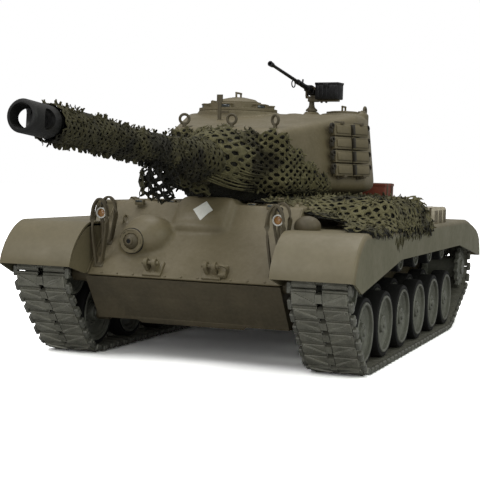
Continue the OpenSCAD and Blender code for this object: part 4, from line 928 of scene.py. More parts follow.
def tail():
    part = merged("rear_fittings")
    for s in (LEFT, RIGHT):
        add(part, rod(2.3, 0.7, sides=20, rounding=0.2, finish=1), move(s * 50, TAIL_Y + 3.7, 86) @ turn(-90, "X"))
        for z in (72, 79, 86, 93):
            add(part, hex_bolt(0.8, 0.7), move(s * 57, TAIL_Y, z - 4) @ turn(-90, "X"))
    for x in (-20, 20):
        add(part, turned([(5.9, 0), (6.5, 0), (6.5, 2), (5.9, 2)], steps=28), move(x - 1, TAIL_Y + 7.2, 84) @ ALONG_X)
    return part


piece("rear_fittings_built", tail(), "hull", [olive_in_painted_shade, amber_glass], ["rear_fittings"],
      bevel=0.25)


def clevises():
    part = merged("tow_clevises")
    for s in (LEFT, RIGHT):
        foot = on_glacis(s * 19, 58, 1)
        add(part, block((-6, -5.2, -1.4), (6, 5.2, 0.5), 0.5), foot)
        add(part, rod(1.1, 11, sides=16, rounding=0.2), foot @ move(-5.5, 0, 5.5) @ ALONG_X)
    # spare shackle block beside the left lug
    add(part, block((4.5, -4, -0.8), (9.5, 4, 2.6), 0.7), on_glacis(19, 58, 1))
    add(part, turned([(2.4, -0.7), (3.8, -0.7), (3.8, 0.7), (2.4, 0.7)], steps=20),
        on_glacis(26, 58, 4.5) @ turn(90, "X"))
    return part


piece("tow_clevises_built", clevises(), "hull", [cast_olive], ["tow_clevises"], bevel=0.35)

lamp_at = {"left": Vector((56.6, -141, 90)), "right": Vector((-56.6, -141, 90))}
LAMP_R = 3.4


def lamps():
    """A lamp a side: bucket, pale rim, amber glass, stalk and foot, and the small blackout lamp above."""
    part = bmesh.new()
    bucket = [(0, -3.2), (1.4, -3.1), (2.5, -2.2), (3.2, -0.6), (3.4, 1.2), (3.4, 2.2), (3.1, 2.2), (2.9, 1.2),
              (0, 1.0)]
    rim = [(2.5, 1.7), (2.5, 2.9), (2.8, 3.1), (3.3, 2.9), (3.3, 2.0), (3.0, 1.7)]
    lens = [(0, 2.8), (1.2, 2.7), (2.0, 2.35), (2.55, 1.8), (2.55, 1.2), (0, 1.2)]
    for at in lamp_at.values():
        front = move(*at) @ ALONG_Y
        add(part, turned(bucket, 32), front)
        add(part, turned(rim, 32, finish=1), front)
        add(part, turned(lens, 32, finish=2), front)
        foot_z = ROOF_Z - (GLACIS_TOP_Y - at.y) / glacis_slope - 0.6
        add(part, rod(0.9, at.z - LAMP_R - foot_z + 0.4, sides=14), move(at.x, at.y, foot_z))
        add(part, rod(2.2, 0.8, tip=1.6, sides=16), move(at.x, at.y, foot_z + 0.2) @ turn(glacis_angle, "X"))
        add(part, rod(0.7, 1.6, sides=10), move(at.x, at.y + 1.5, at.z + LAMP_R - 0.3))
        hood = [(0, 0), (1.5, 0), (1.5, 2.4), (1.2, 2.6), (0, 2.2)]
        add(part, turned(hood, 20, finish=3), move(at.x, at.y + 2.2, at.z + LAMP_R + 2.6) @ ALONG_Y)
    return part


piece("headlights_built", lamps(), "hull", [olive_in_painted_shade, white_paint, amber_glass, black_metal],
      ["headlights"])


def smooth_path(points, per=6, closed=False):
    """Points of a smooth curve through the given ones."""
    points = [Vector(p) for p in points]
    count = len(points)
    out = []
    for i in range(count if closed else count - 1):
        p0 = points[i - 1] if closed or i else points[0] * 2 - points[1]
        p1, p2 = points[i], points[(i + 1) % count]
        p3 = points[(i + 2) % count] if closed or i + 2 < count else points[-1] * 2 - points[-2]
        for k in range(per):
            t = k / per
            out.append(0.5 * ((2 * p1) + (p2 - p0) * t + (2 * p0 - 5 * p1 + 4 * p2 - p3) * t * t
                              + (3 * p1 - p0 - 3 * p2 + p3) * t ** 3))
    if not closed:
        out.append(points[-1])
    return out


def guards():
    """Flat-bar hoops in front of each lamp and behind it, narrow at the foot and wide at the top, on weld pads."""
    part = bmesh.new()
    band = [(-1.5, -0.55), (-1.5, 0.55), (1.5, 0.55), (1.5, -0.55)]
    for s in (LEFT, RIGHT):
        for y, top in ((-146.5, 99), (-135, 100)):
            foot = ROOF_Z - (GLACIS_TOP_Y - y) / glacis_slope
            height = top - foot
            x = s * 56.1
            shape = [(-1.6, 0), (-3.4, height * 0.3), (-4.9, height * 0.62), (-4.0, height * 0.88), (0, height),
                     (4.0, height * 0.88), (4.9, height * 0.62), (3.4, height * 0.3), (1.6, 0)]
            path = smooth_path([(x + a, y + (1 - b / height) * 0.6, foot + b - 0.3) for a, b in shape], 5)
            add(part, swept(path, band))
            add(part, block((-3.2, -1.8, -0.7), (3.2, 1.8, 0.6), 0.4), on_glacis(x, foot))
    # outer hoop, from the right fender to the hull
    hoop = [(70, -128.5, -0.4), (68.4, -128.5, 5), (67.2, -128.0, 10), (64, -127.5, 12.4), (61.2, -127, 10),
            (60.4, -126.6, 4)]
    add(part, swept(smooth_path([(RIGHT * x, y, FENDER_Z + z) for x, y, z in hoop], 5), band))
    return part


piece("headlight_guards_built", guards(), "hull", [olive_in_painted_shade], ["headlight_guards"], crease=40)


def small_fittings():
    """Siren on the left fender and tie-down rings on the hull's sides."""
    part = bmesh.new()
    siren = move(69.5, -128, FENDER_Z)
    add(part, ball(7.0, (1.15, 1.0, 0.9)), siren @ move(z=3.2))
    add(part, rod(5.2, 3.0, sides=28, rounding=0.4), siren @ move(z=-0.3))
    ring = smooth_path([(a, 0, b) for a, b in round_section(2.4, 8)], 3, True)
    for s in (LEFT, RIGHT):
        for y in (-20, 80):
            add(part, swept([(p.x + s * (HULL_HALF + 1.4), y, p.z + 90) for p in ring], round_section(0.45, 8), True))
    return part


piece("hull_small_fittings", small_fittings(), "hull", [olive_in_painted_shade])


# ---------------- turret

cupola_at = Vector((-25, 0, 159.3))
loader_at = Vector((36.5, 54, 161.2))
pintle_at = Vector((17, 38, 162))
CUPOLA_H = 5.2


def roof_at(y):
    """Height of the turret's roof at a distance behind its axis."""
    return read_off([(-82, 145), (-35, 153), (-2, 158), (17, 158.5), (58, 160), (96, 158)], y)


def turret():
    bm = merged("turret_shell")

    def sharp(p):
        in_gun_port = abs(p.x) < 36 and p.y < -58 and p.z < 138
        on_seat = p.z > 150 and any((p.xy - at.xy).length < reach
                                    for at, reach in ((cupola_at, 30), (loader_at, 20), (pintle_at, 7)))
        return p.z < 103.6 or in_gun_port or on_seat

    part = cast_skin(bm, 1.25, 6, sharp)
    # ventilator, antenna base, the bolts over the gun opening and those round the cupola
    add(part, turned([(0, 0), (9.5, 0), (9.5, 1.6), (8.6, 2.6), (5, 3.6), (0, 4.0)], 40),
        move(-8, 76, roof_at(76) - 0.4))
    add(part, rod(3.2, 3.0, tip=2.4, sides=24, rounding=0.3), move(-37, 66, roof_at(66) - 1.5))
    add(part, rod(1.2, 5.5, tip=0.8, sides=16), move(-37, 66, roof_at(66) + 1))
    for x in range(-24, 25, 8):
        add(part, hex_bolt(0.8, 0.6), move(x, -87.6, 139.6) @ turn(78, "X"))
    for k in range(10):
        a = math.tau * k / 10
        add(part, hex_bolt(0.7, 0.5), move(cupola_at.x + 25.6 * math.cos(a), cupola_at.y + 25.6 * math.sin(a),
                                           cupola_at.z))
    return part


piece("turret_casting", turret(), "turret", [cast_olive], ["turret_shell"], crease=50)


def cupola():
    part = merged("cupola")
    for k in range(6):
        where = move(*cupola_at) @ turn(k * 60 + 30, "Z")
        add(part, block((24.7, -3.2, 1.5), (25.3, 3.2, 4.0), 0.15, finish=1), where)
        add(part, block((17, -4.6, 3.9), (25.6, 4.6, 4.9), 0.4), where)
    return part


piece("cupola_built", cupola(), "turret", [cast_olive, clear_block], ["cupola"], bevel=0.3)
for name in ("cupola_hatch", "loader_hatch", "driver_hatch_left", "driver_hatch_right"):
    part = merged(name)
    if name == "cupola_hatch":
        add(part, turned([(3.2, 0), (4.6, 0), (4.6, 0.9), (3.2, 0.9)], 28), move(*cupola_at)
            @ move(0, 0, CUPOLA_H + 3.9))
    piece(name + "_built", part, name, [cast_olive], [name], bevel=0.3)


piece("turret_fittings_built", merged("turret_fittings"), "turret", [olive_in_painted_shade],
      ["turret_fittings"], bevel=0.15)

# frame lying on the turret's left side, ahead of its widest point: X outward, Y back along it, Z up
LOW_FRONT, LOW_MID = Vector((35, -84, 112)), Vector((64, -2, 112))
HIGH_FRONT = Vector((33, -82, 139))
side_normal = (LOW_MID - LOW_FRONT).cross(HIGH_FRONT - LOW_FRONT).normalized()
ON_SIDE = (Matrix.Translation(LOW_FRONT) @ Matrix.Rotation(math.atan2(side_normal.y, side_normal.x), 4, "Z")
           @ Matrix.Rotation(-math.asin(side_normal.z), 4, "Y"))


def spare_shoes():
    """Two columns of four spare track shoes on a rack of straps, held by hooks."""
    part = bmesh.new()
    shoe_step = 8.8
    along = (LOW_MID - LOW_FRONT).length - TRACK_HALF - 1
    rack = ON_SIDE @ move(0, along, 20.5)
    for y in (-13, 9):
        add(part, block((6.5, y, -19), (8.0, y + 4, 19), 0.3), rack)
        for z in (-18.5, 16.5):
            add(part, block((7.6, y + 0.6, z), (12.6, y + 3.4, z + 2), 0.4), rack)
    for i in range(-2, 2):
        row = rack @ move(8.0, 0, i * shoe_step + 0.3)
        for y0, y1 in ((-19, -0.5), (0.5, 19)):
            add(part, block((0, y0, 0.2), (3.0, y1, 8.2), 0.5, finish=1), row)
            add(part, block((2.8, y0 + 1.6, 1.5), (4.3, y1 - 1.6, 6.9), 0.6, finish=1), row)
            for end in (y0 + 0.9, y1 - 0.9):
                add(part, rod(0.9, 7.2, sides=10, finish=1), row @ move(2.2, end, 0.6))
        # a block in the painted seam-shadow colour fills the gap between a row's two shoes: painted shade; the hooks
        # below take that dark colour too
        add(part, block((2.9, -0.8, 0.8), (5.6, 0.8, 7.6), 0.3, finish=2), row)
        for y in (-20.6, 19.6):
            hook = rack @ move(10.2, y, i * shoe_step + 4.4)
            add(part, block((-2.6, -0.6, -2.6), (0.4, 0.6, 1.6), 0.3, finish=2), hook)
            add(part, turned([(1.0, -0.8), (1.9, -0.8), (1.9, 0.8), (1.0, 0.8)], 16, finish=2),
                hook @ move(z=2.2) @ ALONG_X)
    return part


piece("spare_track_links_built", spare_shoes(), "turret", [olive_in_painted_shade, cast_olive, painted_seam_shadow],
      ["spare_track_links"])

# ---------------- gun

trunnion = pivot("gun_elevation")
REST_ELEVATION = 4.5
ON_GUN = move(*trunnion) @ turn(-REST_ELEVATION, "X") @ turn(90, "X")
BREECH_R, BARREL_R, BRAKE_R = 5.6, 4.4, 7.75
BRAKE_LEN = 24.0
GUN_REACH = 250.7
GUN_LEAN = math.radians(REST_ELEVATION)
BARREL_LEN = (GUN_REACH - (BRAKE_R - 0.6) * math.sin(GUN_LEAN)) / math.cos(GUN_LEAN)
BRAKE_FROM = BARREL_LEN - BRAKE_LEN

piece("mantlet_built", merged("mantlet"), "gun", [cast_olive], ["mantlet"], crease=45)


def barrel():
    part = bmesh.new()
    base = BRAKE_FROM
    profile = [(0, -20), (8.6, -20), (8.6, -16), (BREECH_R, -15.6), (BREECH_R, 40), (BARREL_R + 0.5, 110),
               (BARREL_R, base - 2), (0, base - 2)]
    add(part, turned(profile, 48), ON_GUN)
    add(part, turned([(BARREL_R - 1.6, base - 6), (BARREL_R + 0.8, base - 6), (BARREL_R + 1.4, base - 5),
                      (BARREL_R + 1.4, base - 1), (BARREL_R - 1.6, base - 1)], 40, finish=1), ON_GUN)
    return part


def muzzle_brake():
    """The brake's fat sleeve, open at the muzzle, and the cutter for the port through both its sides."""
    base = BRAKE_FROM
    out, inn = BRAKE_R, BRAKE_R - 1.9
    sleeve = turned([(3.0, base), (out - 1.0, base), (out - 0.2, base + 0.7), (out, base + 1.6),
                     (out, base + 20.6), (out - 0.5, base + 21.4), (out - 0.5, base + 22.2), (out, base + 22.8),
                     (out - 0.5, BARREL_LEN - 0.3), (out - 1.0, BARREL_LEN), (inn, BARREL_LEN),
                     (inn, base + 6.6), (3.0, base + 5.0)], 56)
    port = turned([(0, -12), (4.9, -12), (4.9, 12), (0, 12)], 36)
    return sleeve, port


def cut_by(solid, cutter, name):
    """The solid with the cutter's shape taken out of it."""
    made = [in_scene(name, as_stamp(bm)) for bm in (solid, cutter)]
    cut = made[0].modifiers.new("cut", "BOOLEAN")
    cut.operation, cut.object, cut.solver = "DIFFERENCE", made[1], "EXACT"
    bm = with_modifiers(made[0])
    for obj in made:
        bpy.data.meshes.remove(obj.data)
    return bm


sleeve, port = muzzle_brake()
bmesh.ops.transform(port, matrix=move(z=BARREL_LEN - BRAKE_LEN / 2 - 0.5) @ ALONG_X, verts=port.verts)
barrel_part = barrel()
add(barrel_part, finish_of(cut_by(sleeve, port, "brake"), 1), ON_GUN)
# near-black rod in the bore, seen through the brake: painted shade
add(barrel_part, turned([(0, -30), (2.7, -30), (2.7, 0), (0, 0)], 24, finish=2), ON_GUN @ move(z=BARREL_LEN - 19.5))
piece("gun_barrel_built", barrel_part, "gun", [black_metal, brake_black, painted_shade_black], ["gun_barrel"],
      crease=32)

# ---------------- roof machine gun

AA_YAW, AA_ELEVATION = -8.5, 12.0
ON_PINTLE = move(*pintle_at) @ turn(AA_YAW, "Z")
aa_pivot_z = 14.5
ON_AA = ON_PINTLE @ move(z=aa_pivot_z) @ turn(-AA_ELEVATION, "X")


def aa_mount():
    """Pintle post, fork and tray, with the ribbed ammunition box and its feed chute."""
    part = bmesh.new()
    post = [(0, -6), (2.5, -6), (2.5, 0.2), (4.2, 0.2), (4.2, 1.2), (3.2, 2.2), (2.3, 3.2), (1.9, 5), (1.9, 9.4),
            (0, 9.4)]
    add(part, turned(post, 32), ON_PINTLE)
    for k in range(4):
        add(part, hex_bolt(0.6, 0.6), ON_PINTLE @ turn(45 + 90 * k, "Z") @ move(3.5, 0, 1.1))
    add(part, block((-4.6, -1.6, 9.4), (4.6, 1.6, 11), 0.4), ON_PINTLE)
    for s in (LEFT, RIGHT):
        add(part, block((s * 4 - 0.6, -2, 10.6), (s * 4 + 0.6, 2, 15.2), 0.4), ON_PINTLE)
        add(part, rod(2.0, 1.2, sides=20, rounding=0.2), ON_PINTLE @ move(s * 4 - 0.6, 0, aa_pivot_z) @ ALONG_X)
    add(part, rod(0.8, 10, sides=14), ON_PINTLE @ move(-5, 0, aa_pivot_z) @ ALONG_X)
    add(part, block((4.5, -4.5, 6.9), (22.5, -0.5, 8.3), 0.3), ON_PINTLE)
    add(part, block((-2, -3, 6.9), (5, 2, 9.5), 0.4), ON_PINTLE)
    # ammunition box: body, lid with lip, pressed ribs and latch
    add(part, block((5.8, -7.5, 8.3), (23.8, 2.0, 19.0), 0.6, finish=1), ON_PINTLE)
    add(part, block((5.5, -7.8, 18.6), (24.1, 2.3, 20.3), 0.5, finish=1), ON_PINTLE)
    for x in (8.2, 11.6, 15.0, 18.4, 21.4):
        for y in (-7.7, 2.0):
            add(part, block((x - 0.7, y - 0.3, 9.6), (x + 0.7, y + 0.5, 17.8), 0.3, finish=1), ON_PINTLE)
    add(part, block((12.6, -8.3, 16.6), (16.6, -7.5, 19.6), 0.25, finish=1), ON_PINTLE)
    # feed chute from the box to the gun, with the belt's rounds
    add(part, block((2.6, -2.6, 15.2), (6.4, 1.4, 16.2), 0.3), ON_PINTLE)
    for k in range(4):
        add(part, rod(0.42, 5.0, tip=0.2, sides=8, finish=2), ON_PINTLE @ move(2.6 + k, 1.6, 16.8 - 0.1 * k) @ ALONG_Y)
    return part


piece("aa_pintle_built", aa_mount(), "aa_mount", [olive_in_painted_shade, black_metal, brass], ["aa_pintle"])


def aa_gun():
    part = bmesh.new()
    add(part, block((-2.2, -9, -2), (2.2, 18, 2.2), 0.35), ON_AA)
    add(part, block((-2.4, -6, 2.0), (2.4, 14, 3.1), 0.45), ON_AA)
    add(part, block((-2.7, -3, -2.6), (2.7, 5, 1.6), 0.3), ON_AA)
    for y in (-7, 1, 9, 15):
        for s in (LEFT, RIGHT):
            add(part, rivet(0.45), ON_AA @ move(s * 2.2, y, 0.4) @ turn(90 * s, "Y"))
    # perforated barrel jacket, its holes near-black discs of painted shade, barrel and flash hider
    jacket = [(1.2, 8.6), (2.0, 8.6), (2.0, 10.4), (1.7, 10.8), (1.7, 22), (1.9, 22.4), (1.9, 24), (1.2, 24.4)]
    add(part, turned(jacket, 24), ON_AA @ ALONG_Y)
    for k in range(5):
        for a in range(6):
            add(part, rod(0.45, 0.25, sides=8, finish=1), ON_AA @ ALONG_Y @ turn(a * 60 + 30 * (k % 2), "Z")
                @ move(1.55, 0, 12.2 + k * 2) @ ALONG_X)
    bore = [(0, 8), (1.25, 8), (1.15, 40), (1.05, 62.4), (1.6, 63), (1.9, 66.9), (1.1, 66.9), (1.0, 63.5), (0, 63.5)]
    add(part, turned(bore, 24), ON_AA @ ALONG_Y)
    # back plate with its grips, sights, cocking handle and the ring under the barrel
    add(part, block((-2.4, 17.8, -1.2), (2.4, 19.2, 3.2), 0.3), ON_AA)
    for s in (LEFT, RIGHT):
        add(part, rod(0.85, 6.6, sides=16, rounding=0.3), ON_AA @ move(s * 1.9, 21, -2.6))
    for z in (-1, 2.6):
        add(part, block((-1.9, 18.9, z), (1.9, 21.4, z + 0.9), 0.25), ON_AA)
    add(part, block((-0.7, 7.8, 2.9), (0.7, 8.8, 5.5), 0.15), ON_AA)
    add(part, block((-0.45, -17, 1.5), (0.45, -16, 4.1), 0.1), ON_AA)
    add(part, block((-4.4, 12, 0), (-2, 13.2, 1.2), 0.25), ON_AA)
    angles = [math.tau * k / 8 for k in range(8)]
    hoop = smooth_path([(0, -30 + 2.6 * math.cos(a), -3.2 + 2.4 * math.sin(a)) for a in angles], 3, True)
    add(part, swept(hoop, round_section(0.42, 8), True), ON_AA)
    return part


piece("aa_gun_built", aa_gun(), "aa_gun", [black_metal, painted_shade_black], ["aa_gun"])


def bow_gun():
    """Ball with a short collar round the muzzle's dark hole, and its shank inside the hull."""
    part = bmesh.new()
    add(part, ball(5.1), move(*bow_at))
    collar = [(1.4, 4.2), (2.5, 4.2), (2.5, 5.2), (2.1, 5.7), (1.4, 5.7)]
    add(part, turned(collar, 24), move(*bow_at) @ ALONG_Y)
    add(part, turned([(0, 4.0), (1.5, 4.0), (1.5, 5.3), (0, 5.3)], 20, finish=1), move(*bow_at) @ ALONG_Y)
    add(part, turned([(0, 4), (1.5, 4), (1.5, 9), (0, 9)], 20, finish=1), move(*bow_at) @ turn(-90, "X"))
    return part


bow_ring = bmesh.new()
ring_place = move(*bow_at) @ move(0, -2.4, 0) @ turn(-90, "X")
# the inner and outer near-black rings are painted shade in the ring's grooves
add(bow_ring, turned([(5.2, 0.9), (5.9, 0.9), (5.9, 3.2), (5.2, 3.2)], 44, finish=1), ring_place)
add(bow_ring, turned([(5.9, 0.3), (6.2, -0.1), (7.0, -0.1), (7.3, 0.3), (7.3, 3.2), (5.9, 3.2)], 44), ring_place)
add(bow_ring, turned([(7.3, 0.9), (7.8, 0.9), (7.8, 3.2), (7.3, 3.2)], 44, finish=1), ring_place)
piece("bow_gun_ring", bow_ring, "hull", [cast_olive, painted_shade_black])
piece("bow_mg_built", bow_gun(), "bow_mg", [olive_in_painted_shade, black_metal], ["bow_mg"])
piece("travel_lock_built", merged("travel_lock"), "travel_lock", [sheet_olive], ["travel_lock"],
      bevel=0.25)

# ---------------- inside and screws

piece("battery_and_board_built", merged("battery_and_board"), "hull", [board_green],
      ["battery_and_board"], bevel=0.4)
piece("gearboxes_built", merged("gearboxes"), "hull", [gear_metal], ["gearboxes"], bevel=0.4)
screw_part = bmesh.new()
screw_head = as_stamp(turned([(0, 0), (0.9, 0), (0.85, 0.4), (0.6, 0.6), (0.35, 0.6), (0.3, 0.35), (0, 0.35)], 14))
for s in (LEFT, RIGHT):
    for k in range(6):
        set_down(screw_part, screw_head, move(s * (HULL_HALF + 4), FRONT_Y + 32 + k * 4.5, FENDER_Z))
        set_down(screw_part, screw_head, move(s * (HULL_HALF - 6 - 8 * k), TAIL_Y, 64) @ turn(-90, "X"))
piece("screws_built", screw_part, "hull", [track_metal], ["screws"])

# ---------------- cargo


def cargo():
    """A strapped crate on the engine deck and three lidded cans on the left fender."""
    part = bmesh.new()
    add(part, block((34, 122, 100.6), (52, 150, 109.4), 0.4))
    add(part, block((33.6, 121.6, 109.0), (52.4, 150.4, 111.2), 0.4))
    for y in (129, 143):
        add(part, block((33.3, y - 1, 100.6), (52.7, y + 1, 111.5), 0.2, finish=2))
    for i in range(3):
        y = 48 + i * 15
        add(part, block((93, y, FENDER_Z), (107, y + 12, FENDER_Z + 11.6), 0.8, finish=1))
        add(part, block((93.6, y + 0.6, FENDER_Z + 11.2), (106.4, y + 11.4, FENDER_Z + 12.4), 0.5, finish=1))
        for x in (95.6, 103.4):
            add(part, block((x, y - 0.3, FENDER_Z), (x + 1.4, y + 12.3, FENDER_Z + 12.5), 0.2, finish=2))
        for k in range(4):
            rib_y = y + 0.9 + k * 2.9
            add(part, block((106.8, rib_y, FENDER_Z + 1.2), (107.3, rib_y + 0.8, FENDER_Z + 10.4), 0.15, finish=2))
    return part


piece("deck_cargo_built", cargo(), "hull", [brown_crate, pale_can, can_strap], ["deck_cargo"])

# ---------------- markings

# a plain diamond laid on the ventilator hump, and plain bars on the skirts
BARS_LOW, BARS_HIGH, BAR_ROWS = 70, 77.3, 3
part = bmesh.new()
diamond = bmesh.new()
bmesh.ops.create_grid(diamond, x_segments=12, y_segments=12, size=5.2)
bmesh.ops.transform(diamond, matrix=Matrix.Diagonal((0.88, 1.0, 1, 1)) @ turn(45, "Z"), verts=diamond.verts)
hump = on_glacis(1.2, 90.5)
inward = -hump.col[2].xyz
for v in diamond.verts:
    hit, facing = casting_skin.ray_cast(hump @ (v.co + Vector((0, 0, 25))), inward)[:2]
    v.co = hit - inward * 0.3
bmesh.ops.solidify(diamond, geom=diamond.faces[:], thickness=0.12)
add(part, diamond)
for s in (LEFT, RIGHT):
    for y0, y1 in ((0, 29), (74, 124)):
        for k in range(BAR_ROWS):
            step = (BARS_HIGH - BARS_LOW) / BAR_ROWS
            z = BARS_LOW + (BARS_HIGH - BARS_LOW) * k / BAR_ROWS
            add(part, block((s * FENDER_HALF - 0.02, y0, z + 0.35), (s * FENDER_HALF + s * 0.12, y1, z + step)))
piece("white_markings", part, "hull", [white_paint], crease=30)

# ---------------- nets


def scrim(width, length, cell, strand, luck):
    """Flat cut scrim: a sheet slit into slanting lozenge holes, in millimetres, from the origin."""
    holes_open, hole_rounding, ruffle, ruffle_up = 0.93, 0.3, 0.28, 0.3
    bm = bmesh.new()
    across, down = cell, cell * 0.8
    count = int(max(width / across, length / down)) + 4
    bmesh.ops.create_grid(bm, x_segments=count * 2, y_segments=count * 2, size=count)
    lean = Matrix(((across / 2, across / 2, 0, width / 2), (-down / 2, down / 2, 0, length / 2), (0, 0, 1, 0),
                   (0, 0, 0, 1)))
    bmesh.ops.transform(bm, matrix=lean, verts=bm.verts)
    outside = [f for f in bm.faces if not (0 < f.calc_center_median().x < width
                                           and 0 < f.calc_center_median().y < length)]
    bmesh.ops.delete(bm, geom=outside, context="FACES")
    cells = bm.faces[:]
    bmesh.ops.inset_individual(bm, faces=cells, thickness=strand / 2, use_even_offset=True)
    for face in cells:
        face.material_index = 1
    corners = list({v for f in cells for v in f.verts})
    apart = across * down / math.hypot(across, down)
    hole_side = math.hypot(across, down) / 2 * (1 - strand / apart)
    bmesh.ops.bevel(bm, geom=corners, offset=hole_side * hole_rounding, affect="VERTICES", segments=1, profile=0.5,
                    material=0)
    holes = [f for f in bm.faces if f.material_index == 1 and len(f.verts) > 4]
    torn = [f for f in holes if luck.random() < holes_open]
    bmesh.ops.delete(bm, geom=torn, context="FACES")
    finish_of(bm, 0)
    for v in bm.verts:
        v.co.x += luck.uniform(-ruffle, ruffle)
        v.co.y += luck.uniform(-ruffle, ruffle)
        v.co.z += luck.uniform(-ruffle_up, ruffle_up)
    return bm


def tongue(luck):
    """A curled tongue of cut cloth."""
    bm = bmesh.new()
    bmesh.ops.create_grid(bm, x_segments=1, y_segments=4, size=0.5)
    long, wide = luck.uniform(2.0, 3.4), luck.uniform(1.1, 1.9)
    curl = luck.uniform(0.3, 1.1)
    for v in bm.verts:
        t = v.co.y + 0.5
        v.co = Vector((v.co.x * wide * (1 - 0.45 * t), long * t * math.cos(curl * t),
                       long * t * math.sin(curl * t) * 0.7))
    return bm


def tongues(spots, surface, count, luck, lift, steep):
    """Cut tongues that stand off the scrim, at places picked from its own."""
    part = bmesh.new()
    for _ in range(count):
        spot = spots[luck.randrange(len(spots))]
        point, normal = surface(spot.x, spot.y)
        lie = normal.to_track_quat("Z", "Y").to_matrix().to_4x4()
        where = (Matrix.Translation(point + normal * lift) @ lie @ turn(luck.uniform(0, 360), "Z")
                 @ turn(luck.uniform(0, steep), "X"))
        add(part, tongue(luck), where)
    return part


def cloth_wall(obj, thickness=0.2):
    wall = obj.modifiers.new("cloth thickness", "SOLIDIFY")
    wall.thickness = thickness * MM
    wall.offset = 0


def net(name, size, cell, strand, surface, follow, finish, replaces=(), loose=0, seed=1, rumple=0.8,
        wave=0.16, keep=None, steep=28):
    """A scrim sheet laid on a surface, and its cut tongues as a piece of their own."""
    luck = random.Random(seed)
    width, length = size
    part = scrim(width, length, cell, strand, luck)
    if keep:
        gone = [f for f in part.faces if not keep(f.calc_center_median().x, f.calc_center_median().y)]
        bmesh.ops.delete(part, geom=gone, context="FACES")
    area = sum(f.calc_area() for f in part.faces)
    spots = [f.calc_center_median() for f in part.faces]
    shift = luck.uniform(0, 50)
    for v in part.verts:
        u, w, h = v.co
        point, normal = surface(u, w)
        swell = noise.noise(Vector((u * wave + shift, w * wave, shift)))
        swell += noise.noise(Vector((u * wave * 3.1, w * wave * 3.1, shift))) * 0.5
        v.co = point + normal * (h + (swell + 0.6) * rumple)
    obj = piece(name, part, None, [finish], replaces, crease=180, outward=False)
    cloth_wall(obj)
    follow(obj)
    if loose:
        cut = piece(name + "_tongues", tongues(spots, surface, loose, luck, rumple, steep), None, [finish],
                    crease=180, outward=False)
        cloth_wall(cut)
        follow(cut)


def with_gun(obj):
    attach(obj, "gun")


def with_hull(obj):
    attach(obj, "hull")


def turret_to_gun(obj):
    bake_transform(obj)


def turret_up_to_gun(obj):
    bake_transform(obj)


def normal_by(place, u, w, step=0.6):
    """A surface's point and outward normal at a place, from the points beside it."""
    point = place(u, w)
    along_u, along_w = place(u + step, w) - point, place(u, w + step) - point
    normal = along_u.cross(along_w)
    return point, normal.normalized() if normal.length > 1e-6 else Vector((0, 0, 1))


def laid_on(place, step=0.6):
    return lambda u, w: normal_by(place, u, w, step)


def barrel_net_radius(l):
    return read_off([(38, 15.5), (42, 15), (62, 12.4), (95, 8.6), (160, 7.8), (208, 8.2), (224, 8.8)], l)


def round_barrel(start, inset, phase):
    """Scrim wrapped round the barrel; its length runs along the bore."""
    def place(u, w):
        l = start + u
        a = w / 8.6 + phase
        radius = (barrel_net_radius(l) - inset) * (1 + 0.05 * math.sin(3 * a + l * 0.07))
        return ON_GUN @ Vector((radius * math.sin(a), radius * math.cos(a), l))
    return laid_on(place)


barrel_end = BRAKE_FROM - 3
# an inner wrap in painted shade under the outer one
net("barrel_net_inner", (barrel_end - 40, 54), 4.4, 1.6, round_barrel(40, 1.6, 0.4), with_gun, scrim_painted_shade,
    ["barrel_net"], loose=60, seed=3, rumple=0.6)
net("barrel_net_outer", (barrel_end - 38, 54), 4.8, 1.4, round_barrel(42, 0.3, 2.2), with_gun, scrim_barrel,
    loose=420, seed=4, rumple=0.9, steep=45)


def below_barrel(y, depth):
    """A point under the net on the barrel, at a distance ahead of the turret's axis."""
    l = (trunnion.y - y) / math.cos(GUN_LEAN)
    return trunnion.z + l * math.sin(GUN_LEAN) - barrel_net_radius(l) * 0.75 - depth


def bunch(u, w):
    """The loose bunch that hangs under the barrel, a folded bag wider than its neck."""
    open_out = 0.6 + 0.4 * min(1.0, w / 9)
    y = -174 - u * open_out
    fold = math.sin(u * 0.3 + w * 0.12) * 2.4 * min(1, w / 12) + math.sin(u * 0.17 + 1) * 1.6
    return Vector((fold, y, below_barrel(y, w * (1 - 0.2 * (u / 40) ** 2))))


def curtain(u, w):
    """The fold that hangs from the barrel towards the hull's roof, ahead of the turret, its first sheet dark with
    painted shade.
    """
    y = -175 + u
    fold = math.sin(u * 0.28) * 3.0 * min(1, w / 12) + math.sin(u * 0.13 + 1) * 1.6
    return Vector((fold, y, below_barrel(y, w * 0.68)))


net("barrel_net_bunch", (40, 23), 7.4, 1.7, laid_on(bunch), with_gun, scrim_barrel,
    loose=26, seed=6, rumple=1.2)
# the bunch's outer sheet is scrim in painted shade
net("barrel_net_bunch_outer", (36, 21), 7.8, 1.7,
    laid_on(lambda u, w: bunch(u + 3, w) + Vector((4, 0, 1))), with_gun, scrim_painted_shade,
    loose=20, seed=8, rumple=1.6)
# two curtain sheets: the first in painted shade, the second in the barrel's scrim
for k, (side_step, cell) in enumerate(((-2.5, 4.6), (2.5, 6.6))):
    net(f"gun_net_curtain_{k + 1}", (66, 14), cell, 1.8,
        laid_on(lambda u, w, x=side_step: curtain(u, w) + Vector((x, 0, 0))), turret_up_to_gun,
        (scrim_painted_shade, scrim_barrel)[k], loose=60, seed=31 + k, rumple=1.2)


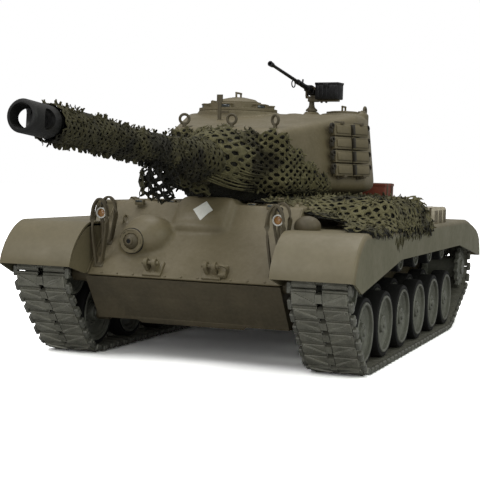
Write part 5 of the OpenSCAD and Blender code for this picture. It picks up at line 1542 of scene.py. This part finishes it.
def scallops():
    """Round tabs of the net along the underside of the barrel."""
    part = bmesh.new()
    luck = random.Random(9)
    first, spacing = 108, 5
    for k in range(int((barrel_end - first) / spacing)):
        loop = bmesh.new()
        bmesh.ops.create_circle(loop, cap_ends=True, segments=10, radius=luck.uniform(1.9, 2.6))
        l = first + k * spacing
        add(part, loop, ON_GUN @ move(luck.uniform(-1.5, 1.5), -barrel_net_radius(l) - 0.5, l) @ turn(90, "Y")
            @ turn(luck.uniform(-25, 25), "X"))
    return part


loops = piece("barrel_net_loops", scallops(), "gun", [scrim_barrel], crease=180)
cloth_wall(loops)


def form_of(*parts):
    """What a net lies on: several solids as one, to be met by rays."""
    bm = bmesh.new()
    for part in parts:
        add(bm, part)
    tree = BVHTree.FromBMesh(bm)
    bm.free()
    return tree


def flare():
    """Cone from the net on the barrel back to the turret's face."""
    bm = turned([(0, 44), (15.4, 44), (17.5, 34), (22, 20), (30, 6), (34, -2), (0, -2)], 40)
    bmesh.ops.transform(bm, matrix=ON_GUN, verts=bm.verts)
    return bm


turret_form = form_of(merged("turret_shell"), flare())
NET_EYE = Vector((0, -46, 118))
ROUND_FROM, UP_FROM, DEGREES_A_MM = -42, -20, 0.82


def turret_angles(u, w):
    return ROUND_FROM + u * DEGREES_A_MM, UP_FROM + w * DEGREES_A_MM


def on_turret(lift):
    """Scrim over the turret's front: its width runs round from the right to the left, its length up from the foot."""
    def place(u, w):
        round_at, up_at = map(math.radians, turret_angles(u, w))
        way = Vector((math.sin(round_at) * math.cos(up_at), -math.cos(round_at) * math.cos(up_at), math.sin(up_at)))
        hit = turret_form.ray_cast(NET_EYE + way * 200, -way)[0]
        return (hit if hit else NET_EYE + way * 45) + way * lift
    soft = {}

    def eased(u, w):
        """The mean of the places round about, so that the cloth spans hollows."""
        key = (round(u, 1), round(w, 1))
        if key not in soft:
            near = [place(u + du, w + dw) for du in (-3, 0, 3) for dw in (-3, 0, 3)]
            soft[key] = sum(near, Vector()) / len(near)
        return soft[key]

    return laid_on(eased, 1.0)


def net_top(round_at):
    """Height of the net's upper edge round the turret: just under the roof, then down the left cheek to its foot."""
    if round_at < 40:
        return 27 + 2.2 * math.sin(round_at * 0.35)
    return 24 - (round_at - 40) * 0.56 + 2.5 * math.sin(round_at * 0.45)


def net_foot(round_at):
    """Height of the net's lower edge: it leaves the gun's underside and comes down to the turret's left corner."""
    if round_at < 2:
        return -4 if round_at > -22 else -12
    return max(-3 - (round_at - 2) * 0.36, -19) + 1.2 * math.sin(round_at * 0.6)


def shown_cover(u, w):
    round_at, up_at = turret_angles(u, w)
    return net_foot(round_at) < up_at < net_top(round_at)


# where the scrim in painted shade goes: everything below the net's upper edge, the hollow under the gun too
def painted_shade_cover(u, w):
    round_at, up_at = turret_angles(u, w)
    return up_at < net_top(round_at) - 1


# a layer in painted shade under the lit scrim, also filling the hollow under the gun
net("turret_net_under", (168, 62), 5.4, 2.6, on_turret(0.4), turret_to_gun, scrim_painted_shade,
    ["turret_net"], loose=60, seed=11, rumple=0.8, keep=painted_shade_cover)
net("turret_net_upper", (168, 62), 7.6, 1.7, on_turret(2.0), turret_to_gun, scrim_top,
    loose=170, seed=12, rumple=1.2, keep=shown_cover)


def stretched_strands():
    """Taut strands from the net round the gun down to the turret's left corner."""
    part = bmesh.new()
    luck = random.Random(17)
    for k in range(10):
        t = k / 9
        a = math.radians(150 - 70 * t)
        l = 58 - 26 * t
        start = ON_GUN @ Vector((barrel_net_radius(l) * math.sin(a) * 1.05, barrel_net_radius(l) * math.cos(a), l))
        end = Vector((24 + 12 * t, -88 + 3 * t, 104.5 + 14 * t))
        sag = Vector((0, 0, -luck.uniform(0.5, 2.5)))
        path = smooth_path([start, start.lerp(end, 0.5) + sag, end], 8)
        add(part, swept(path, round_section(luck.uniform(0.35, 0.6), 5)))
    return part


turret_to_gun(piece("turret_net_strands", stretched_strands(), None, [scrim_top], crease=180))


def on_fender(lift):
    """Scrim over the left of the hull: its width runs from the roof out and down the skirt, its length back."""
    over_box = [(0, 30, 99.6), (20, 50, 100.2), (34, 63, 101), (52, 81, 99.8), (72, 101.5, 98.6), (78, 105.6, 95.4),
                (87, 108.4, 87.4), (91, 110.9, 84.4), (99, 111.5, 76.5), (108, 111.6, 67.5)]
    ahead = [(0, 30, 98.6), (20, 50, 97.2), (34, 60, 93.4), (52, 77, 89.0), (72, 96, 85.4), (78, 102, 84.8),
             (87, 110.0, 84.2), (91, 111.2, 81.5), (99, 111.5, 73.5), (108, 111.6, 64.5)]

    def read(marks, u):
        for (u0, x0, z0), (u1, x1, z1) in zip(marks, marks[1:]):
            if u <= u1:
                t = max(0.0, (u - u0) / (u1 - u0))
                return Vector((x0 + (x1 - x0) * t, 0, z0 + (z1 - z0) * t))
        return Vector((marks[-1][1], 0, marks[-1][2]))

    def place(u, w):
        y = -142 + w
        share = min(1, max(0, (y + 100) / 38))
        share = share * share * (3 - 2 * share)
        point = read(ahead, u).lerp(read(over_box, u), share)
        dip = 1.2 * math.sin(w * 0.13 + u * 0.06) + 0.8 * math.sin(w * 0.31 - u * 0.11)
        loose_part = min(1, max(0, (u - 34) / 20)) * (1 if u < 80 else 0.4)
        return Vector((point.x, y, point.z + dip * loose_part + lift))
    return laid_on(place, 1.0)


def fender_cover(u, w):
    """Ragged edges: the front lies behind the lamp and the siren, the hem on the fender's edge, then over the skirt."""
    front = (31 if u < 62 else max(5, 30 - (u - 62) * 2.6)) + 1.5 * math.sin(u * 0.5)
    hang = min(1, max(0, (w - 64) / 14))
    hem = 90.5 + hang * (4 + 1.6 * math.sin(w * 0.21) + 1.6 * math.sin(w * 0.57)) + 1.0 * math.sin(w * 0.8)
    rear = 170 - 4 * math.sin(u * 0.09) if u > 30 else 91
    swept_turret = u < 26 and w > 87
    return front < w < rear and u < hem and not swept_turret


# a layer in painted shade under the lit scrim
net("fender_net_under", (108, 173), 6.0, 2.8, on_fender(0.2), with_hull, scrim_painted_shade,
    ["fender_net"], loose=80, seed=21, rumple=0.8, keep=fender_cover)
net("fender_net_upper", (108, 173), 7.8, 1.8, on_fender(1.5), with_hull, scrim_top,
    loose=300, seed=22, rumple=1.2, keep=fender_cover)


def fringe():
    """Frayed ends that hang from the net over the side skirt."""
    part = bmesh.new()
    luck = random.Random(27)
    for k in range(46):
        y = -80 + 100 * k / 45 + luck.uniform(-1, 1)
        top = FENDER_Z - luck.uniform(1, 4)
        drop = luck.uniform(5, 10) if -78 < y < -58 else luck.uniform(1.5, 4.5)
        middle = (FENDER_HALF + 1.3, y + luck.uniform(-1.5, 1.5), top - drop * 0.5)
        path = smooth_path([(FENDER_HALF + 0.9, y, top), middle,
                            (FENDER_HALF + 0.9, y + luck.uniform(-2.5, 2.5), top - drop)], 4)
        add(part, swept(path, round_section(luck.uniform(0.35, 0.6), 5)))
    return part


piece("fender_net_fringe", fringe(), "hull", [scrim_barrel], crease=180)

# ---------------- floor, light and camera

bm = bmesh.new()
bmesh.ops.create_grid(bm, x_segments=1, y_segments=1, size=6)
floor = in_scene("floor", mesh_of(bm, "floor"))
floor_paint = bpy.data.materials.new("pale floor")
floor_paint.use_nodes = True
tree = floor_paint.node_tree
seen = node(tree, "LightPath").outputs["Is Camera Ray"]
shade = blended(tree, seen, (0.4, 0.4, 0.4, 1), (3.1, 3.1, 3.1, 1))
matt = node(tree, "BsdfDiffuse", {"Color": shade})
tree.links.new(matt.outputs[0], tree.nodes["Material Output"].inputs["Surface"])
floor.data.materials.append(floor_paint)

world = bpy.data.worlds.new("studio")
bpy.context.scene.world = world
world.use_nodes = True
tree = world.node_tree
seen = node(tree, "LightPath").outputs["Is Camera Ray"]
soft_light = node(tree, "Background", {"Color": (1, 1, 1, 1), "Strength": 0.36})
backdrop = node(tree, "Background", {"Color": (1, 1, 1, 1), "Strength": 1.0})
sky = node(tree, "MixShader", {0: seen, 1: soft_light.outputs[0], 2: backdrop.outputs[0]})
tree.links.new(sky.outputs[0], tree.nodes["World Output"].inputs["Surface"])


def lamp(name, at, aim, size, power, tint=(1, 1, 1)):
    light = bpy.data.lights.new(name, "AREA")
    light.shape, light.size, light.energy, light.color = "DISK", size, power, tint
    obj = in_scene(name, light)
    obj.location = at
    obj.rotation_euler = (Vector(aim) - Vector(at)).to_track_quat("-Z", "Y").to_euler()


centre = (0, 0, 0.08)
lamp("key softbox", (-0.7, -1.2, 1.5), centre, 1.2, 11)
lamp("fill softbox", (1.6, -0.7, 0.9), centre, 1.4, 8, (0.94, 1.0, 0.9))
lamp("low softbox", (0.25, -1.6, 0.25), centre, 1.0, 4)
lamp("top softbox", (0.1, 0.3, 1.9), centre, 1.6, 14)

CAMERA_AT = Vector((0.28017, -0.73606, 0.11661))
CAMERA_AIM = Vector((-0.00188, 0.0037, 0.07207))
camera_data = bpy.data.cameras.new("camera")
camera_data.lens = 89.75
camera_data.sensor_width = 36
camera_data.clip_start = 0.01
camera = in_scene("camera", camera_data)
aim = (CAMERA_AIM - CAMERA_AT).to_track_quat("-Z", "Y").to_matrix().to_4x4()
CAMERA_ROLL = 1.61
camera.matrix_world = Matrix.Translation(CAMERA_AT) @ aim @ turn(CAMERA_ROLL, "Z")
bpy.context.scene.camera = camera
bpy.context.scene.view_settings.view_transform = "Standard"
